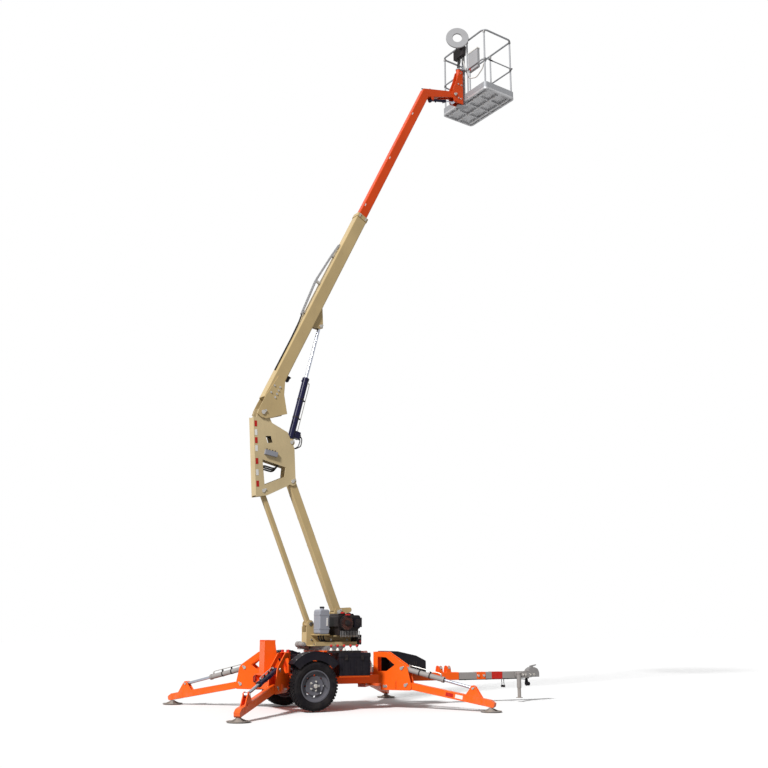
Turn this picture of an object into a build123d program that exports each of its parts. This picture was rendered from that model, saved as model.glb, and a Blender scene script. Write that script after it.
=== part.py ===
"""Towable articulated boom lift, standing on its four outriggers with both booms raised.

Millimetres. +X points along the tongue, +Y to the machine's left, +Z up.
The origin is on the ground, midway between the rear foot pads and the coupler's nose.
"""
from build123d import *
import os
from math import atan2, cos, degrees, hypot, radians, sin, tan

os.makedirs("parts", exist_ok=True)

# Fits
pin_gap = 0.3
eye_gap = 0.5
swing_gap = 5
pin_head = 3
slide_gap = 0.5

# Layout on the ground, measured from the slew axis
pad_reach_x = 1745
pad_radius = 145
coupler_reach = 3606
slew_x = (pad_reach_x + pad_radius - coupler_reach) / 2
axle_behind_slew = 394
axle_x = slew_x - axle_behind_slew
slew_rest = 9.6

# Wheels and axle
track = 1180
tyre_radius = 322
tyre_width = 205
tyre_shoulder = 30
bead_radius = 196
rim_width = 150
rim_flange = 12
rim_wall = 5
wheel_lift = 15
hub_radius = 58
hub_length = 84
spindle_radius = 20
drum_radius = 115
drum_width = 42
axle_tube = 70
axle_lead = 130
axle_z = tyre_radius + wheel_lift

# Chassis
rail_y = 330
rail_width = 80
rail_low = 340
rail_high = 460
rail_wall = 6
rail_rear = 900
rail_front = 905
cross_depth = 70
cross_reach = 590
header = 14
shelf = 22
pedestal_half = 240
pedestal_foot = 300
pedestal_top = 770
pedestal_wall = 12
deck_plate = 16
deck_radius = 300
ring_radius = 280
ring_height = 62
ring_z = pedestal_top + deck_plate
motor_radius = 40
motor_length = 130

# Outriggers, in the upright plane of each one: distance outward from its pivot, and height
leg_pivot_x = 980
leg_pivot_y = 660
leg_plan = 51.6
pad_reach_y = leg_pivot_y + (pad_reach_x - leg_pivot_x) * tan(radians(leg_plan))
leg_pivot_z = 320
leg_end_z = 112
leg_width = 80
leg_depth = 92
leg_overrun = 62
leg_plate = 12
leg_pin = 18
leg_lug = (990, 300)
leg_jack_foot = (-60, 545)
leg_barrel_radius = 35
leg_barrel_length = 640
leg_rod_radius = 20
leg_eye_radius = 32
leg_eye_width = 44
bracket_outline = [(-500, 340), (-380, 340), (-380, 250), (70, 250), (92, 300), (78, 360),
                   (30, 560), (-16, 600), (-285, 766), (-500, 766)]
bracket_window = [(-430, 500), (-300, 500), (-165, 590), (-300, 690), (-430, 700)]
pad_thick = 10
pad_neck = 36

# Fenders, boxes, hood and boom rest
fender_radius = 408
fender_rise = 33
fender_thick = 8
fender_width = 225
fender_arc = (38, 142)
box_rear = -38
box_front = 431
box_inner = 372
box_outer = 640
box_low = 462
box_high = 760
hood_rear = 925
hood_front = 1520
hood_half = 215
hood_step = 1060
hood_top = 766
hood_nose = 630
rest_rear = -932
rest_front = -778
rest_half = 110
rest_top = 930
rest_plate = 14
valve_rear = -190
valve_front = 290
valve_y = 590
lever_count = 5
lamp_radius = 48

# Tongue, jack and coupler
tongue_tube = 100
tongue_z = 395
tongue_wall = 6
sleeve_end = 2156
coupler_length = 230
tongue_end = coupler_reach - coupler_length
tab_places = (1850, 1990)
tab_height = 96
gusset = 60
jack_behind = 196
jack_x = tongue_end - jack_behind
jack_tube = 34
jack_leg = 27
jack_foot_radius = 52
jack_foot_z = 60
jack_top_z = 480
jack_pivot_z = 395
ball_radius = 25
coupler_width = 90
head_rise = 108

# Booms, in the upright plane through the slew axis: distance forward and height
cheek_in = 55
cheek = 12
lower_foot = (186, 1317)
link_foot = (-281, 1146)
lower_length = 1996
lower_angle = 113.9
lower_depth = 125
lower_width = 100
link_depth = 70
link_width = 60
boom_wall = 6
bulkhead = 14
upper_step = (-522, 955)
sill_step = (40, -560)
sill_angle = -14
sill_length = 330
upper_angle = 63.7
upper_depth = 195
upper_width = 150
upper_start = 215
upper_end = 3870
collar_length = 60
fly_depth = 150
fly_width = 110
fly_stroke = 2850
fly_stop_gap = 20
fly_tail = upper_start + bulkhead + fly_stop_gap + fly_stroke
fly_elbow = 6900
goose_turn = 48.1
goose_length = 668
goose_end_depth = 110
carrier_start = 1754
carrier_length = 1416
carrier_post = 40
carrier_thick = 17
slave_foot = (120, -109)
slave_pin = 12
slave_lever = 120
slave_lever_angle = -85
slave_barrel_radius = 24
slave_barrel_length = 330
slave_rod_radius = 12
slave_eye_radius = 28
pin_radius = 25

# Lower lift cylinder at the turntable's front
lever_length = 210
lever_angle = 9
lower_jack_foot = (424, 940)
lower_barrel_radius = 36
lower_rod_radius = 20
lower_barrel_length = 360
lower_spare_in = 2
slave_spare_in = 10

# Upper lift cylinder
lift_foot_step = (489, -385)
lift_lug_along = 1750
lift_lug_drop = 212
lift_barrel_radius = 48
lift_barrel_length = 1040
lift_rod_radius = 25
lift_eye_radius = 38
lift_eye_width = 50
lift_spare_out = 46
leg_spare_out = 14

# Turntable and what stands on it
table_rear = -360
table_front = 450
table_half = 245
table_plate = 14
table_z = ring_z + ring_height
table_lip = 56
tank_rear = -270
tank_front = -106
tank_inner = 140
tank_outer = 300
tank_low = 1005
tank_high = 1345
engine_rear = 0
engine_front = 378
engine_inner = 78
engine_outer = 350
engine_low = 990
engine_high = 1290
control_box = (400, 480, 138)

# Platform, in the boom's plane and across it, from the levelling pin at the gooseneck's tip
yoke_ahead = 144
yoke_radius = 42
post_radius = 27
bracket_drop = 127
bracket_length = 695
edge_ahead = 106
platform_depth = 705
platform_width = 1220
floor_drop = 42
floor_thick = 32
tread_rise = 3
tread_margin = 62
platform_height = 1200
mid_rail_height = 610
rail_radius = 17
toe_height = 110
sheet = 3
corner_radius = 90
entry_radius = 11
entry_pin = 7
console_behind = 68
console_half = 130
console_depth = 78
console_low = 880
console_tall = 180
guard_reach = 208
guard_hole = 85
guard_half = 16
guard_rise = 1200
guard_turn = 35
guard_seat = 60
guard_seat_depth = 4

# Planes and points
BOOM = Plane(origin=(slew_x, 0, 0), x_dir=(cos(radians(slew_rest)), sin(radians(slew_rest)), 0),
             z_dir=(sin(radians(slew_rest)), -cos(radians(slew_rest)), 0))
SLEWED = Plane(origin=(slew_x, 0, 0), x_dir=BOOM.x_dir, z_dir=(0, 0, 1))


def polar(start, length, angle):
    """The point at a length and an angle from another, in the boom's plane."""
    return (start[0] + length * cos(radians(angle)), start[1] + length * sin(radians(angle)))


def shifted(start, step):
    """The point one step away from another."""
    return (start[0] + step[0], start[1] + step[1])


def angle_between(start, end):
    """The angle of the line from one point to another, in degrees."""
    return degrees(atan2(end[1] - start[1], end[0] - start[0]))


def distance(start, end):
    """The distance from one point to another."""
    return hypot(end[0] - start[0], end[1] - start[1])


def along(plane, start, angle):
    """A plane that starts at a point of another, with its x turned to an angle."""
    origin = plane.from_local_coords((start[0], start[1], 0))
    turned = plane.x_dir * cos(radians(angle)) + plane.y_dir * sin(radians(angle))
    return Plane(origin=origin, x_dir=turned, z_dir=plane.z_dir)


def across(plane, start, angle):
    """A plane square to a bar at a point: x is sideways and y is up from the bar."""
    bar = along(plane, start, angle)
    return Plane(origin=bar.origin, x_dir=bar.z_dir * -1, z_dir=bar.x_dir)


lower_head = polar(lower_foot, lower_length, lower_angle)
link_head = polar(link_foot, lower_length, lower_angle)
upper_foot = shifted(lower_head, upper_step)
lift_foot = shifted(upper_foot, lift_foot_step)
lift_lug = polar(polar(upper_foot, lift_lug_along, upper_angle), lift_lug_drop, upper_angle - 90)
elbow = polar(upper_foot, fly_elbow, upper_angle)
goose_angle = upper_angle - goose_turn
lever_tip = polar(lower_foot, lever_length, lever_angle)
level_pin = polar(elbow, goose_length, goose_angle)
yoke_r = level_pin[0] + yoke_ahead
bracket_low = level_pin[1] - bracket_drop
bracket_high = bracket_low + bracket_length
floor_z = level_pin[1] - floor_drop
platform_edge = yoke_r + edge_ahead
console_r = platform_edge - console_behind
slave_start = polar(polar(elbow, slave_foot[0], goose_angle), slave_foot[1], goose_angle + 90)
slave_end = polar(level_pin, slave_lever, slave_lever_angle)
post_inset = corner_radius * (1 - cos(radians(45)))


# Shapes that many pieces share
def prism(plane, outline, start, end, mode=Mode.ADD):
    """A flat outline carried from start to end along the plane's normal."""
    with BuildSketch(plane.offset(start)) as face:
        Polygon(*outline, align=None)
    area = face.sketch.faces()[0]
    if area.normal_at().dot(plane.z_dir) < 0:
        area = -area
    extrude(area, amount=end - start, mode=mode)


def block(plane, low, high, start, end, mode=Mode.ADD):
    """A box between two corners of a plane, from start to end along its normal."""
    prism(plane, [low, (high[0], low[1]), high, (low[0], high[1])], start, end, mode)


def disc(plane, centre, radius, start, end, mode=Mode.ADD):
    """A round bar through a point, from start to end along the plane's normal."""
    with BuildSketch(plane.offset(start)) as face:
        with Locations(centre):
            Circle(radius)
    extrude(face.sketch, amount=end - start, mode=mode)


def webbed(plane, rounds, start, end, mode=Mode.ADD):
    """A plate whose edge wraps round circles, each given as x, y and radius."""
    with BuildSketch(plane.offset(start)) as face:
        for x, y, radius in rounds:
            with Locations((x, y)):
                Circle(radius)
        make_hull()
    extrude(face.sketch, amount=end - start, mode=mode)


def box_bar(plane, start, angle, length, depth, width, wall=0, corner=12):
    """A square tube from a point along an angle; a wall of 0 leaves it solid."""
    with BuildSketch(across(plane, start, angle)) as face:
        RectangleRounded(width, depth, corner)
    extrude(face.sketch, amount=length)
    if wall:
        with BuildSketch(across(plane, start, angle)) as hole:
            RectangleRounded(width - 2 * wall, depth - 2 * wall, corner - wall / 2)
        extrude(hole.sketch, amount=length, mode=Mode.SUBTRACT)


def cheeks(inner, thick):
    """The start and end of the near and the far plate of a pair."""
    return ((inner, inner + thick), (-inner - thick, -inner))


def finish(piece, name):
    """Names a piece and writes it."""
    piece.part.label = name
    export_step(piece.part, f"parts/{name}.step")


# Wheels
def wheel_plane(side, rise=0):
    """The plane of a wheel's middle, with its normal pointing outward, or one above it."""
    return Plane(origin=(axle_x, side * track / 2, axle_z + rise), x_dir=(-side, 0, 0), z_dir=(0, side, 0))


def make_tyre(side, name):
    middle = wheel_plane(side)
    half = tyre_width / 2
    rim_half = rim_width / 2
    profile = Plane(origin=middle.origin, x_dir=middle.z_dir, z_dir=(side, 0, 0))
    wall_foot = bead_radius + rim_flange + 3
    wall = [(rim_half, bead_radius), (rim_half, wall_foot), (half, bead_radius + 72),
            (half, tyre_radius - tyre_shoulder), (half - 12, tyre_radius - 20), (half - 34, tyre_radius)]
    with BuildPart() as tyre:
        with BuildSketch(profile) as cut:
            Polygon(*wall, *[(-x, y) for x, y in reversed(wall)], align=None)
            fillet(cut.vertices().filter_by(lambda v: v.Y > wall_foot + 10), 16)
        revolve(cut.sketch, axis=Axis(middle.origin, middle.z_dir))
    finish(tyre, name)


def make_rim(side, name):
    middle = wheel_plane(side)
    half = rim_width / 2
    lip = half + 10
    drop = bead_radius - 34
    inside = bead_radius - rim_wall
    dish_out = 39
    dish_in = dish_out - 7
    profile = Plane(origin=middle.origin, x_dir=middle.z_dir, z_dir=(side, 0, 0))
    with BuildPart() as rim:
        with BuildSketch(profile) as cut:
            Polygon((-lip, bead_radius + rim_flange), (-half, bead_radius + rim_flange),
                    (-half, bead_radius), (-34, bead_radius), (-24, drop), (24, drop), (34, bead_radius),
                    (half, bead_radius), (half, bead_radius + rim_flange), (lip, bead_radius + rim_flange),
                    (lip, inside), (38, inside), (28, drop - rim_wall), (-28, drop - rim_wall),
                    (-38, inside), (-lip, inside), align=None)
            Polygon((31, drop - 3), (24, drop - 3), (24, drop - 18), (40, 118), (dish_in, 80), (dish_in, 30),
                    (dish_out, 30), (dish_out, 80), (48, 122), (31, drop - 20), align=None)
        revolve(cut.sketch, axis=Axis(middle.origin, middle.z_dir))
        disc(middle, (0, 0), hub_radius, dish_in - hub_length, dish_out + 8)
        disc(middle, (0, 0), 34, dish_out + 8, dish_out + 36)
        with BuildSketch(middle.offset(dish_in - 20)) as holes:
            with PolarLocations(134, 8):
                Circle(13)
        extrude(holes.sketch, amount=60, mode=Mode.SUBTRACT)
        disc(middle, (0, 0), spindle_radius + pin_gap, dish_in - hub_length - 1, dish_out + 12,
             mode=Mode.SUBTRACT)
    finish(rim, name)


# Axle with trailing arms and drums
def make_axle():
    arm_y = track / 2 - 98
    with BuildPart() as axle:
        tube_x = axle_x + axle_lead
        tube_z = rail_low - axle_tube / 2
        side = Plane.XZ
        block(side, (tube_x - axle_tube / 2, tube_z - axle_tube / 2),
              (tube_x + axle_tube / 2, tube_z + axle_tube / 2), -arm_y, arm_y)
        for sign in (1, -1):
            near = Plane(origin=(0, sign * (arm_y - 14), 0), x_dir=(1, 0, 0), z_dir=(0, -1, 0))
            webbed(near, [(tube_x, tube_z, 42), (axle_x, axle_z, 46)], -14, 14)
            out = Plane(origin=(axle_x, 0, axle_z), x_dir=(1, 0, 0), z_dir=(0, sign, 0))
            disc(out, (0, 0), drum_radius, arm_y, arm_y + drum_width)
            disc(out, (0, 0), spindle_radius, arm_y, track / 2 + 48)
    finish(axle, "axle")


def corner_plane(front, left):
    """An outrigger's own plane: x outward from its pivot, y up from the ground."""
    reach = (pad_reach_x - leg_pivot_x, pad_reach_y - leg_pivot_y)
    size = hypot(*reach)
    out = Vector(front * reach[0] / size, left * reach[1] / size, 0)
    return Plane(origin=(slew_x + front * leg_pivot_x, left * leg_pivot_y, 0), x_dir=out,
                 z_dir=out.cross(Vector(0, 0, 1)))


leg_reach = hypot(pad_reach_x - leg_pivot_x, pad_reach_y - leg_pivot_y)
leg_pivot = (0, leg_pivot_z)
leg_end = (leg_reach, leg_end_z)
leg_angle = angle_between(leg_pivot, leg_end)
corners = {"front_left": (1, 1), "front_right": (1, -1), "rear_left": (-1, 1), "rear_right": (-1, -1)}
bracket_in = leg_width / 2 + swing_gap


# Chassis
def make_chassis():
    seat = rail_high - 90
    with BuildPart() as chassis:
        for sign in (1, -1):
            rail = Plane(origin=(slew_x - rail_rear, sign * rail_y, (rail_low + rail_high) / 2),
                         x_dir=(0, 1, 0), z_dir=(1, 0, 0))
            with BuildSketch(rail) as section:
                RectangleRounded(rail_width, rail_high - rail_low, 8)
                RectangleRounded(rail_width - 2 * rail_wall, rail_high - rail_low - 2 * rail_wall, 4,
                                 mode=Mode.SUBTRACT)
            extrude(section.sketch, amount=rail_rear + rail_front)
            low, high = sorted((sign * (rail_y + rail_width / 2 - 2), sign * (box_outer - 10)))
            block(Plane.XY, (slew_x + box_rear + 10, low), (slew_x + box_front - 10, high),
                  box_low - shelf, box_low)
        for place in (cross_depth / 2 - rail_rear, rail_front - cross_depth / 2):
            middle = slew_x + place
            block(Plane.XY, (middle - cross_depth / 2, -cross_reach), (middle + cross_depth / 2, cross_reach),
                  rail_low - 60, rail_low + 30)
        block(Plane.XY, (slew_x + rail_front - header, -rail_y), (slew_x + rail_front, rail_y),
              rail_low, rail_high)
        with BuildSketch(Plane.XY.offset(seat)) as foot:
            with Locations((slew_x, 0)):
                RectangleRounded(2 * pedestal_foot, 2 * rail_y, 10)
        extrude(foot.sketch, amount=rail_high - seat)
        for inset, mode in ((0, Mode.ADD), (pedestal_wall, Mode.SUBTRACT)):
            with BuildSketch(Plane.XY.offset(rail_high - (1 if inset else 0))) as base:
                with Locations((slew_x, 0)):
                    RectangleRounded(2 * (pedestal_foot - inset), 2 * (pedestal_half - inset), 28)
            with BuildSketch(Plane.XY.offset(pedestal_top - inset)) as head:
                with Locations((slew_x, 0)):
                    RectangleRounded(2 * (pedestal_half - inset), 2 * (pedestal_half - 20 - inset), 28)
            loft([base.sketch, head.sketch], mode=mode)
        block(Plane.XY, (slew_x - pedestal_foot + 12, 12 - rail_y),
              (slew_x + pedestal_foot - 12, rail_y - 12), seat - 1, rail_high - 10, Mode.SUBTRACT)
        with BuildSketch(Plane.XY.offset(pedestal_top)) as deck:
            with Locations((slew_x, 0)):
                Circle(deck_radius)
        extrude(deck.sketch, amount=deck_plate)
        for front, left in corners.values():
            plane = corner_plane(front, left)
            for start, end in cheeks(bracket_in, leg_plate):
                prism(plane, bracket_outline, start, end)
                prism(plane, bracket_window, start, end, Mode.SUBTRACT)
            block(plane, (-500, rail_high), (-488, 766), -bracket_in, bracket_in)
            block(plane, (-380, 250), (-240, 262), -bracket_in, bracket_in)
            disc(plane, leg_pivot, leg_pin, -bracket_in - leg_plate - 8, bracket_in + leg_plate + 8)
            disc(plane, leg_jack_foot, leg_pin - 4, -bracket_in - leg_plate - 8, bracket_in + leg_plate + 8)
    finish(chassis, "chassis_frame")


def make_boom_rest():
    with BuildPart() as rest:
        side = Plane(origin=(slew_x, 0, 0), x_dir=(1, 0, 0), z_dir=(0, -1, 0))
        outline = [(rest_rear, rail_high), (rest_front + 190, rail_high), (rest_front + 30, 700),
                   (rest_front, rest_top - 40), (rest_rear, rest_top - 20)]
        for start, end in cheeks(rest_half - rest_plate, rest_plate):
            prism(side, outline, start, end)
        block(side, (rest_rear, rail_high), (rest_rear + rest_plate, rest_top - 20), -rest_half, rest_half)
        block(side, (rest_rear, rest_top - 40), (rest_front, rest_top - 20), -rest_half, rest_half)
        for start, end in cheeks(rest_half - rest_plate, rest_plate):
            block(side, (rest_rear, rest_top - 20), (rest_front, rest_top), start, end)
        block(side, (rest_rear - 6, rail_high), (rest_rear + 60, rail_high + 12), -rail_y, rail_y)
        block(side, (rest_front + 162, rail_high), (rest_front + 190, rail_high + 12), -rail_y, rail_y)
    finish(rest, "boom_rest")


def make_fenders():
    with BuildPart() as fenders:
        for side in (1, -1):
            middle = wheel_plane(side, fender_rise)
            first, last = fender_arc
            with BuildSketch(middle.offset(-fender_width / 2)) as arc:
                with BuildLine():
                    outer = CenterArc((0, 0), fender_radius + fender_thick, first, last - first)
                    inner = CenterArc((0, 0), fender_radius, first, last - first)
                    Line(outer @ 0, inner @ 0)
                    Line(outer @ 1, inner @ 1)
                make_face()
            extrude(arc.sketch, amount=fender_width)
            reach = track / 2 - fender_width / 2 - rail_y - rail_width / 2
            near = -fender_width / 2
            block(middle, (-210, fender_radius - 85), (-150, fender_radius - 40), near - reach, near + 8)
            block(middle, (150, fender_radius - 85), (210, fender_radius - 40), near - reach, near + 8)
            for low in (-210, 150):
                block(middle, (low, rail_high - axle_z - fender_rise), (low + 60, fender_radius - 40),
                      near - reach - 40, near - reach)
                block(middle, (low, fender_radius - 85), (low + 60, fender_radius - 26), near, near + 8)
    finish(fenders, "fenders")


def make_battery_boxes():
    with BuildPart() as boxes:
        for side in (1, -1):
            low, high = sorted((side * box_inner, side * box_outer))
            with BuildSketch(Plane.XY.offset(box_low)) as foot:
                with Locations((slew_x + (box_rear + box_front) / 2, (low + high) / 2)):
                    RectangleRounded(box_front - box_rear, high - low, 18)
            extrude(foot.sketch, amount=box_high - 52 - box_low)
            with BuildSketch(Plane.XY.offset(box_high - 52)) as lid:
                with Locations((slew_x + (box_rear + box_front) / 2, (low + high) / 2)):
                    RectangleRounded(box_front - box_rear + 14, high - low + 14, 22)
            extrude(lid.sketch, amount=52, taper=6)
    finish(boxes, "battery_boxes")


def make_hood():
    hood_low = tongue_z + tongue_tube / 2 + tongue_wall
    side = Plane(origin=(slew_x, 0, 0), x_dir=(1, 0, 0), z_dir=(0, -1, 0))
    outline = [(hood_rear, hood_low), (hood_front, hood_low), (hood_front, hood_nose),
               (hood_front - 160, hood_nose + 74), (hood_step, hood_top), (hood_rear, hood_top)]
    with BuildPart() as hood:
        prism(side, outline, -hood_half, hood_half)
        fillet(hood.edges().filter_by(Axis.Y).filter_by(lambda e: e.center().Z > hood_low + 5), 24)
        fillet(hood.faces().filter_by(Plane.XZ).edges().filter_by(lambda e: e.center().Z > hood_nose), 14)
        prism(side, [(hood_rear - 5, hood_low - 5), (hood_front - 40, hood_low - 5),
                     (hood_front - 40, hood_nose - 30), (hood_step, hood_top - 24),
                     (hood_rear - 5, hood_top - 24)],
              14 - hood_half, hood_half - 14, Mode.SUBTRACT)
    finish(hood, "tongue_hood")


def make_valves():
    rise = box_high
    with BuildPart() as valves:
        side = Plane(origin=(slew_x, -valve_y, 0), x_dir=(1, 0, 0), z_dir=(0, -1, 0))
        block(side, (valve_rear, rise), (valve_front, rise + 30), -30, 30)
        pitch = (valve_front - valve_rear) / lever_count
        for index in range(lever_count):
            x = valve_rear + pitch * (index + 0.5)
            upright = Plane(origin=(slew_x + x, -valve_y, rise + 30), x_dir=(1, 0, 0), z_dir=(0, 0, 1))
            disc(upright, (0, 0), 12, 0, 10)
            disc(upright, (0, 0), 5, 10, 48)
            disc(upright, (0, 0), 12, 48, 68)
    finish(valves, "outrigger_valves")


def make_lamps():
    with BuildPart() as lamps:
        for side in (1, -1):
            rear = Plane(origin=(slew_x - rail_rear, side * rail_y, rail_high - 60), x_dir=(0, 1, 0),
                         z_dir=(-1, 0, 0))
            disc(rear, (0, 0), lamp_radius, 0, 12)
            disc(rear, (0, 0), lamp_radius - 6, 12, 26)
    finish(lamps, "tail_lamps")


def make_tongue():
    half = tongue_tube / 2
    outer = half + tongue_wall
    with BuildPart() as sleeve:
        front = Plane(origin=(slew_x + rail_front, 0, tongue_z), x_dir=(0, 1, 0), z_dir=(1, 0, 0))
        with BuildSketch(front) as face:
            RectangleRounded(2 * outer, 2 * outer, 10)
            RectangleRounded(2 * half, 2 * half, 6, mode=Mode.SUBTRACT)
        extrude(face.sketch, amount=sleeve_end - rail_front)
        for place in tab_places:
            side = Plane(origin=(slew_x, 0, 0), x_dir=(1, 0, 0), z_dir=(0, -1, 0))
            for start, end in cheeks(44, 10):
                webbed(side, [(place, tongue_z + outer + tab_height - 26, 26),
                              (place - 34, tongue_z + outer - 1, 4),
                              (place + 34, tongue_z + outer - 1, 4)], start, end)
        for sign in (1, -1):
            level = Plane.XY.offset(tongue_z + outer - gusset)
            root = slew_x + rail_front
            prism(level, [(root, sign * (outer - 2)), (root + 260, sign * (outer - 2)),
                          (root + 260, sign * (outer + 24)), (root + 30, sign * (rail_y + 20)),
                          (root, sign * (rail_y + 20))], 0, gusset)
    finish(sleeve, "tongue_sleeve")
    with BuildPart() as bar:
        start = Plane(origin=(slew_x + sleeve_end - 500, 0, tongue_z), x_dir=(0, 1, 0), z_dir=(1, 0, 0))
        with BuildSketch(start) as face:
            RectangleRounded(2 * half, 2 * half, 6)
            RectangleRounded(2 * half - 2 * tongue_wall, 2 * half - 2 * tongue_wall, 4, mode=Mode.SUBTRACT)
        extrude(face.sketch, amount=tongue_end - sleeve_end + 500)
        side = Plane(origin=(slew_x, 0, 0), x_dir=(1, 0, 0), z_dir=(0, -1, 0))
        block(side, (jack_x - 60, jack_pivot_z - 50), (jack_x + 60, jack_pivot_z + 50), half, half + 8)
        disc(side, (jack_x, jack_pivot_z), 22, half + 8, half + 20)
    finish(bar, "tongue_bar")


def make_coupler():
    half = coupler_width / 2
    nose = coupler_reach
    with BuildPart() as coupler:
        side = Plane(origin=(slew_x, 0, 0), x_dir=(1, 0, 0), z_dir=(0, -1, 0))
        prism(side, [(tongue_end, tongue_z - 45), (nose - 160, tongue_z - 45), (nose - 130, tongue_z - 38),
                     (nose, tongue_z - 38), (nose, tongue_z + 30), (nose - 26, tongue_z + 84),
                     (nose - 80, tongue_z + head_rise), (nose - 150, tongue_z + head_rise),
                     (nose - 196, tongue_z + 80), (tongue_end, tongue_z + 34)], -half, half)
        fillet(coupler.edges().filter_by(Axis.Y).filter_by(lambda e: e.center().X > slew_x + nose - 160
                                                           and e.center().Z > tongue_z), 18)
        ball = Plane(origin=(slew_x + nose - 62, 0, tongue_z - 38), x_dir=(1, 0, 0), z_dir=(0, 0, 1))
        disc(ball, (0, 0), ball_radius + pin_gap, -1, 52, mode=Mode.SUBTRACT)
        rise = tongue_z + head_rise
        prism(side, [(nose - 140, rise - 20), (nose - 90, rise - 20), (nose - 90, rise + 12),
                     (nose - 30, rise + 26), (nose - 36, rise + 40), (nose - 140, rise + 20)], -16, 16)
    finish(coupler, "coupler")
    with BuildPart() as socket:
        side = Plane(origin=(slew_x, 0, 0), x_dir=(1, 0, 0), z_dir=(0, -1, 0))
        webbed(side, [(nose - 190, tongue_z - 138, 34), (nose - 190, tongue_z - 68, 22)], -36, -30)
        block(side, (nose - 212, tongue_z - 62), (nose - 168, tongue_z - 45), -36, 10)
        disc(side, (nose - 190, tongue_z - 138), 30, -30, 24)
    finish(socket, "lighting_socket")


def make_jack():
    middle_y = -(tongue_tube / 2 + 8 + 12 + eye_gap + 12 + jack_tube)
    with BuildPart() as jack:
        upright = Plane(origin=(slew_x + jack_x, middle_y, 0), x_dir=(1, 0, 0), z_dir=(0, 0, 1))
        disc(upright, (0, 0), jack_tube, jack_pivot_z - 190, jack_top_z - 70)
        disc(upright, (0, 0), jack_tube + 5, jack_top_z - 70, jack_top_z - 40)
        disc(upright, (0, 0), jack_leg, jack_foot_z + 8, jack_pivot_z - 190)
        disc(upright, (0, 0), jack_foot_radius, jack_foot_z, jack_foot_z + 8)
        side = Plane(origin=(slew_x, middle_y, 0), x_dir=(1, 0, 0), z_dir=(0, -1, 0))
        disc(side, (jack_x, jack_pivot_z), jack_tube + 12, -jack_tube - 12, -jack_tube + 8)
        disc(side, (jack_x, jack_top_z - 55), 9, jack_tube, jack_tube + 40)
        webbed(side, [(jack_x, jack_top_z - 55, 12), (jack_x + 110, jack_top_z - 20, 9)],
               jack_tube + 28, jack_tube + 36)
        disc(side, (jack_x + 110, jack_top_z - 20), 11, jack_tube + 36, jack_tube + 100)
    finish(jack, "tongue_jack")


# Outriggers
def make_outrigger(name, front, left):
    plane = corner_plane(front, left)
    half = leg_width / 2
    eye_half = leg_eye_width / 2
    beam_angle = radians(leg_angle)
    lug_root = leg_depth / 2 - 6
    with BuildPart() as beam:
        bar = along(plane, leg_pivot, leg_angle)
        far = leg_reach / cos(beam_angle) + leg_overrun
        prism(bar, [(-30, -leg_depth / 2), (far - 20, -leg_depth / 2), (far, -leg_depth / 2 + 20),
                    (far, leg_depth / 2 - 30), (far - 60, leg_depth / 2), (-30, leg_depth / 2)], -half, half)
        disc(plane, leg_pivot, leg_depth / 2, -half, half)
        lug = bar.to_local_coords(plane.from_local_coords((leg_lug[0], leg_lug[1], 0)))
        for start, end in cheeks(eye_half + eye_gap, 12):
            prism(bar, [(lug.X - 95, lug_root), (lug.X + 150, lug_root), (lug.X + 34, lug.Y + 22),
                        (lug.X + 10, lug.Y + 38), (lug.X - 26, lug.Y + 34), (lug.X - 42, lug.Y - 6)],
                  start, end)
            pin_end = end + 8 if start > 0 else start - 8
            disc(bar, (lug.X, lug.Y), 17, min(start, pin_end), max(end, pin_end))
        disc(plane, leg_pivot, leg_pin + pin_gap, -half - 1, half + 1, mode=Mode.SUBTRACT)
    finish(beam, f"outrigger_beam_{name}")

    under = leg_end_z - leg_depth / 2 / cos(beam_angle)
    neck_top = under - (pad_neck - 4) * tan(-beam_angle) - pin_gap
    with BuildPart() as pad:
        spot = Plane(origin=plane.from_local_coords((leg_reach, 0, 0)), x_dir=(1, 0, 0), z_dir=(0, 0, 1))
        profile = Plane(origin=spot.origin, x_dir=(1, 0, 0), z_dir=(0, -1, 0))
        with BuildSketch(profile) as cut:
            Polygon((0, 0), (pad_radius - 14, 0), (pad_radius, 14), (pad_radius, 20), (pad_radius - 6, 20),
                    (pad_radius - 18, pad_thick), (58, pad_thick + 6), (pad_neck, pad_thick + 22),
                    (pad_neck - 4, neck_top), (0, neck_top), align=None)
        revolve(cut.sketch, axis=Axis(spot.origin, (0, 0, 1)))
    finish(pad, f"foot_pad_{name}")

    angle = angle_between(leg_jack_foot, leg_lug)
    length = distance(leg_jack_foot, leg_lug)
    cylinder(plane, leg_jack_foot, angle, length, f"outrigger_barrel_{name}", f"outrigger_rod_{name}",
             leg_barrel_radius, leg_barrel_length, leg_rod_radius, leg_eye_radius, leg_eye_width,
             leg_pin - 4, 2 * bracket_in - 2 * swing_gap, spare_out=leg_spare_out)


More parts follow.
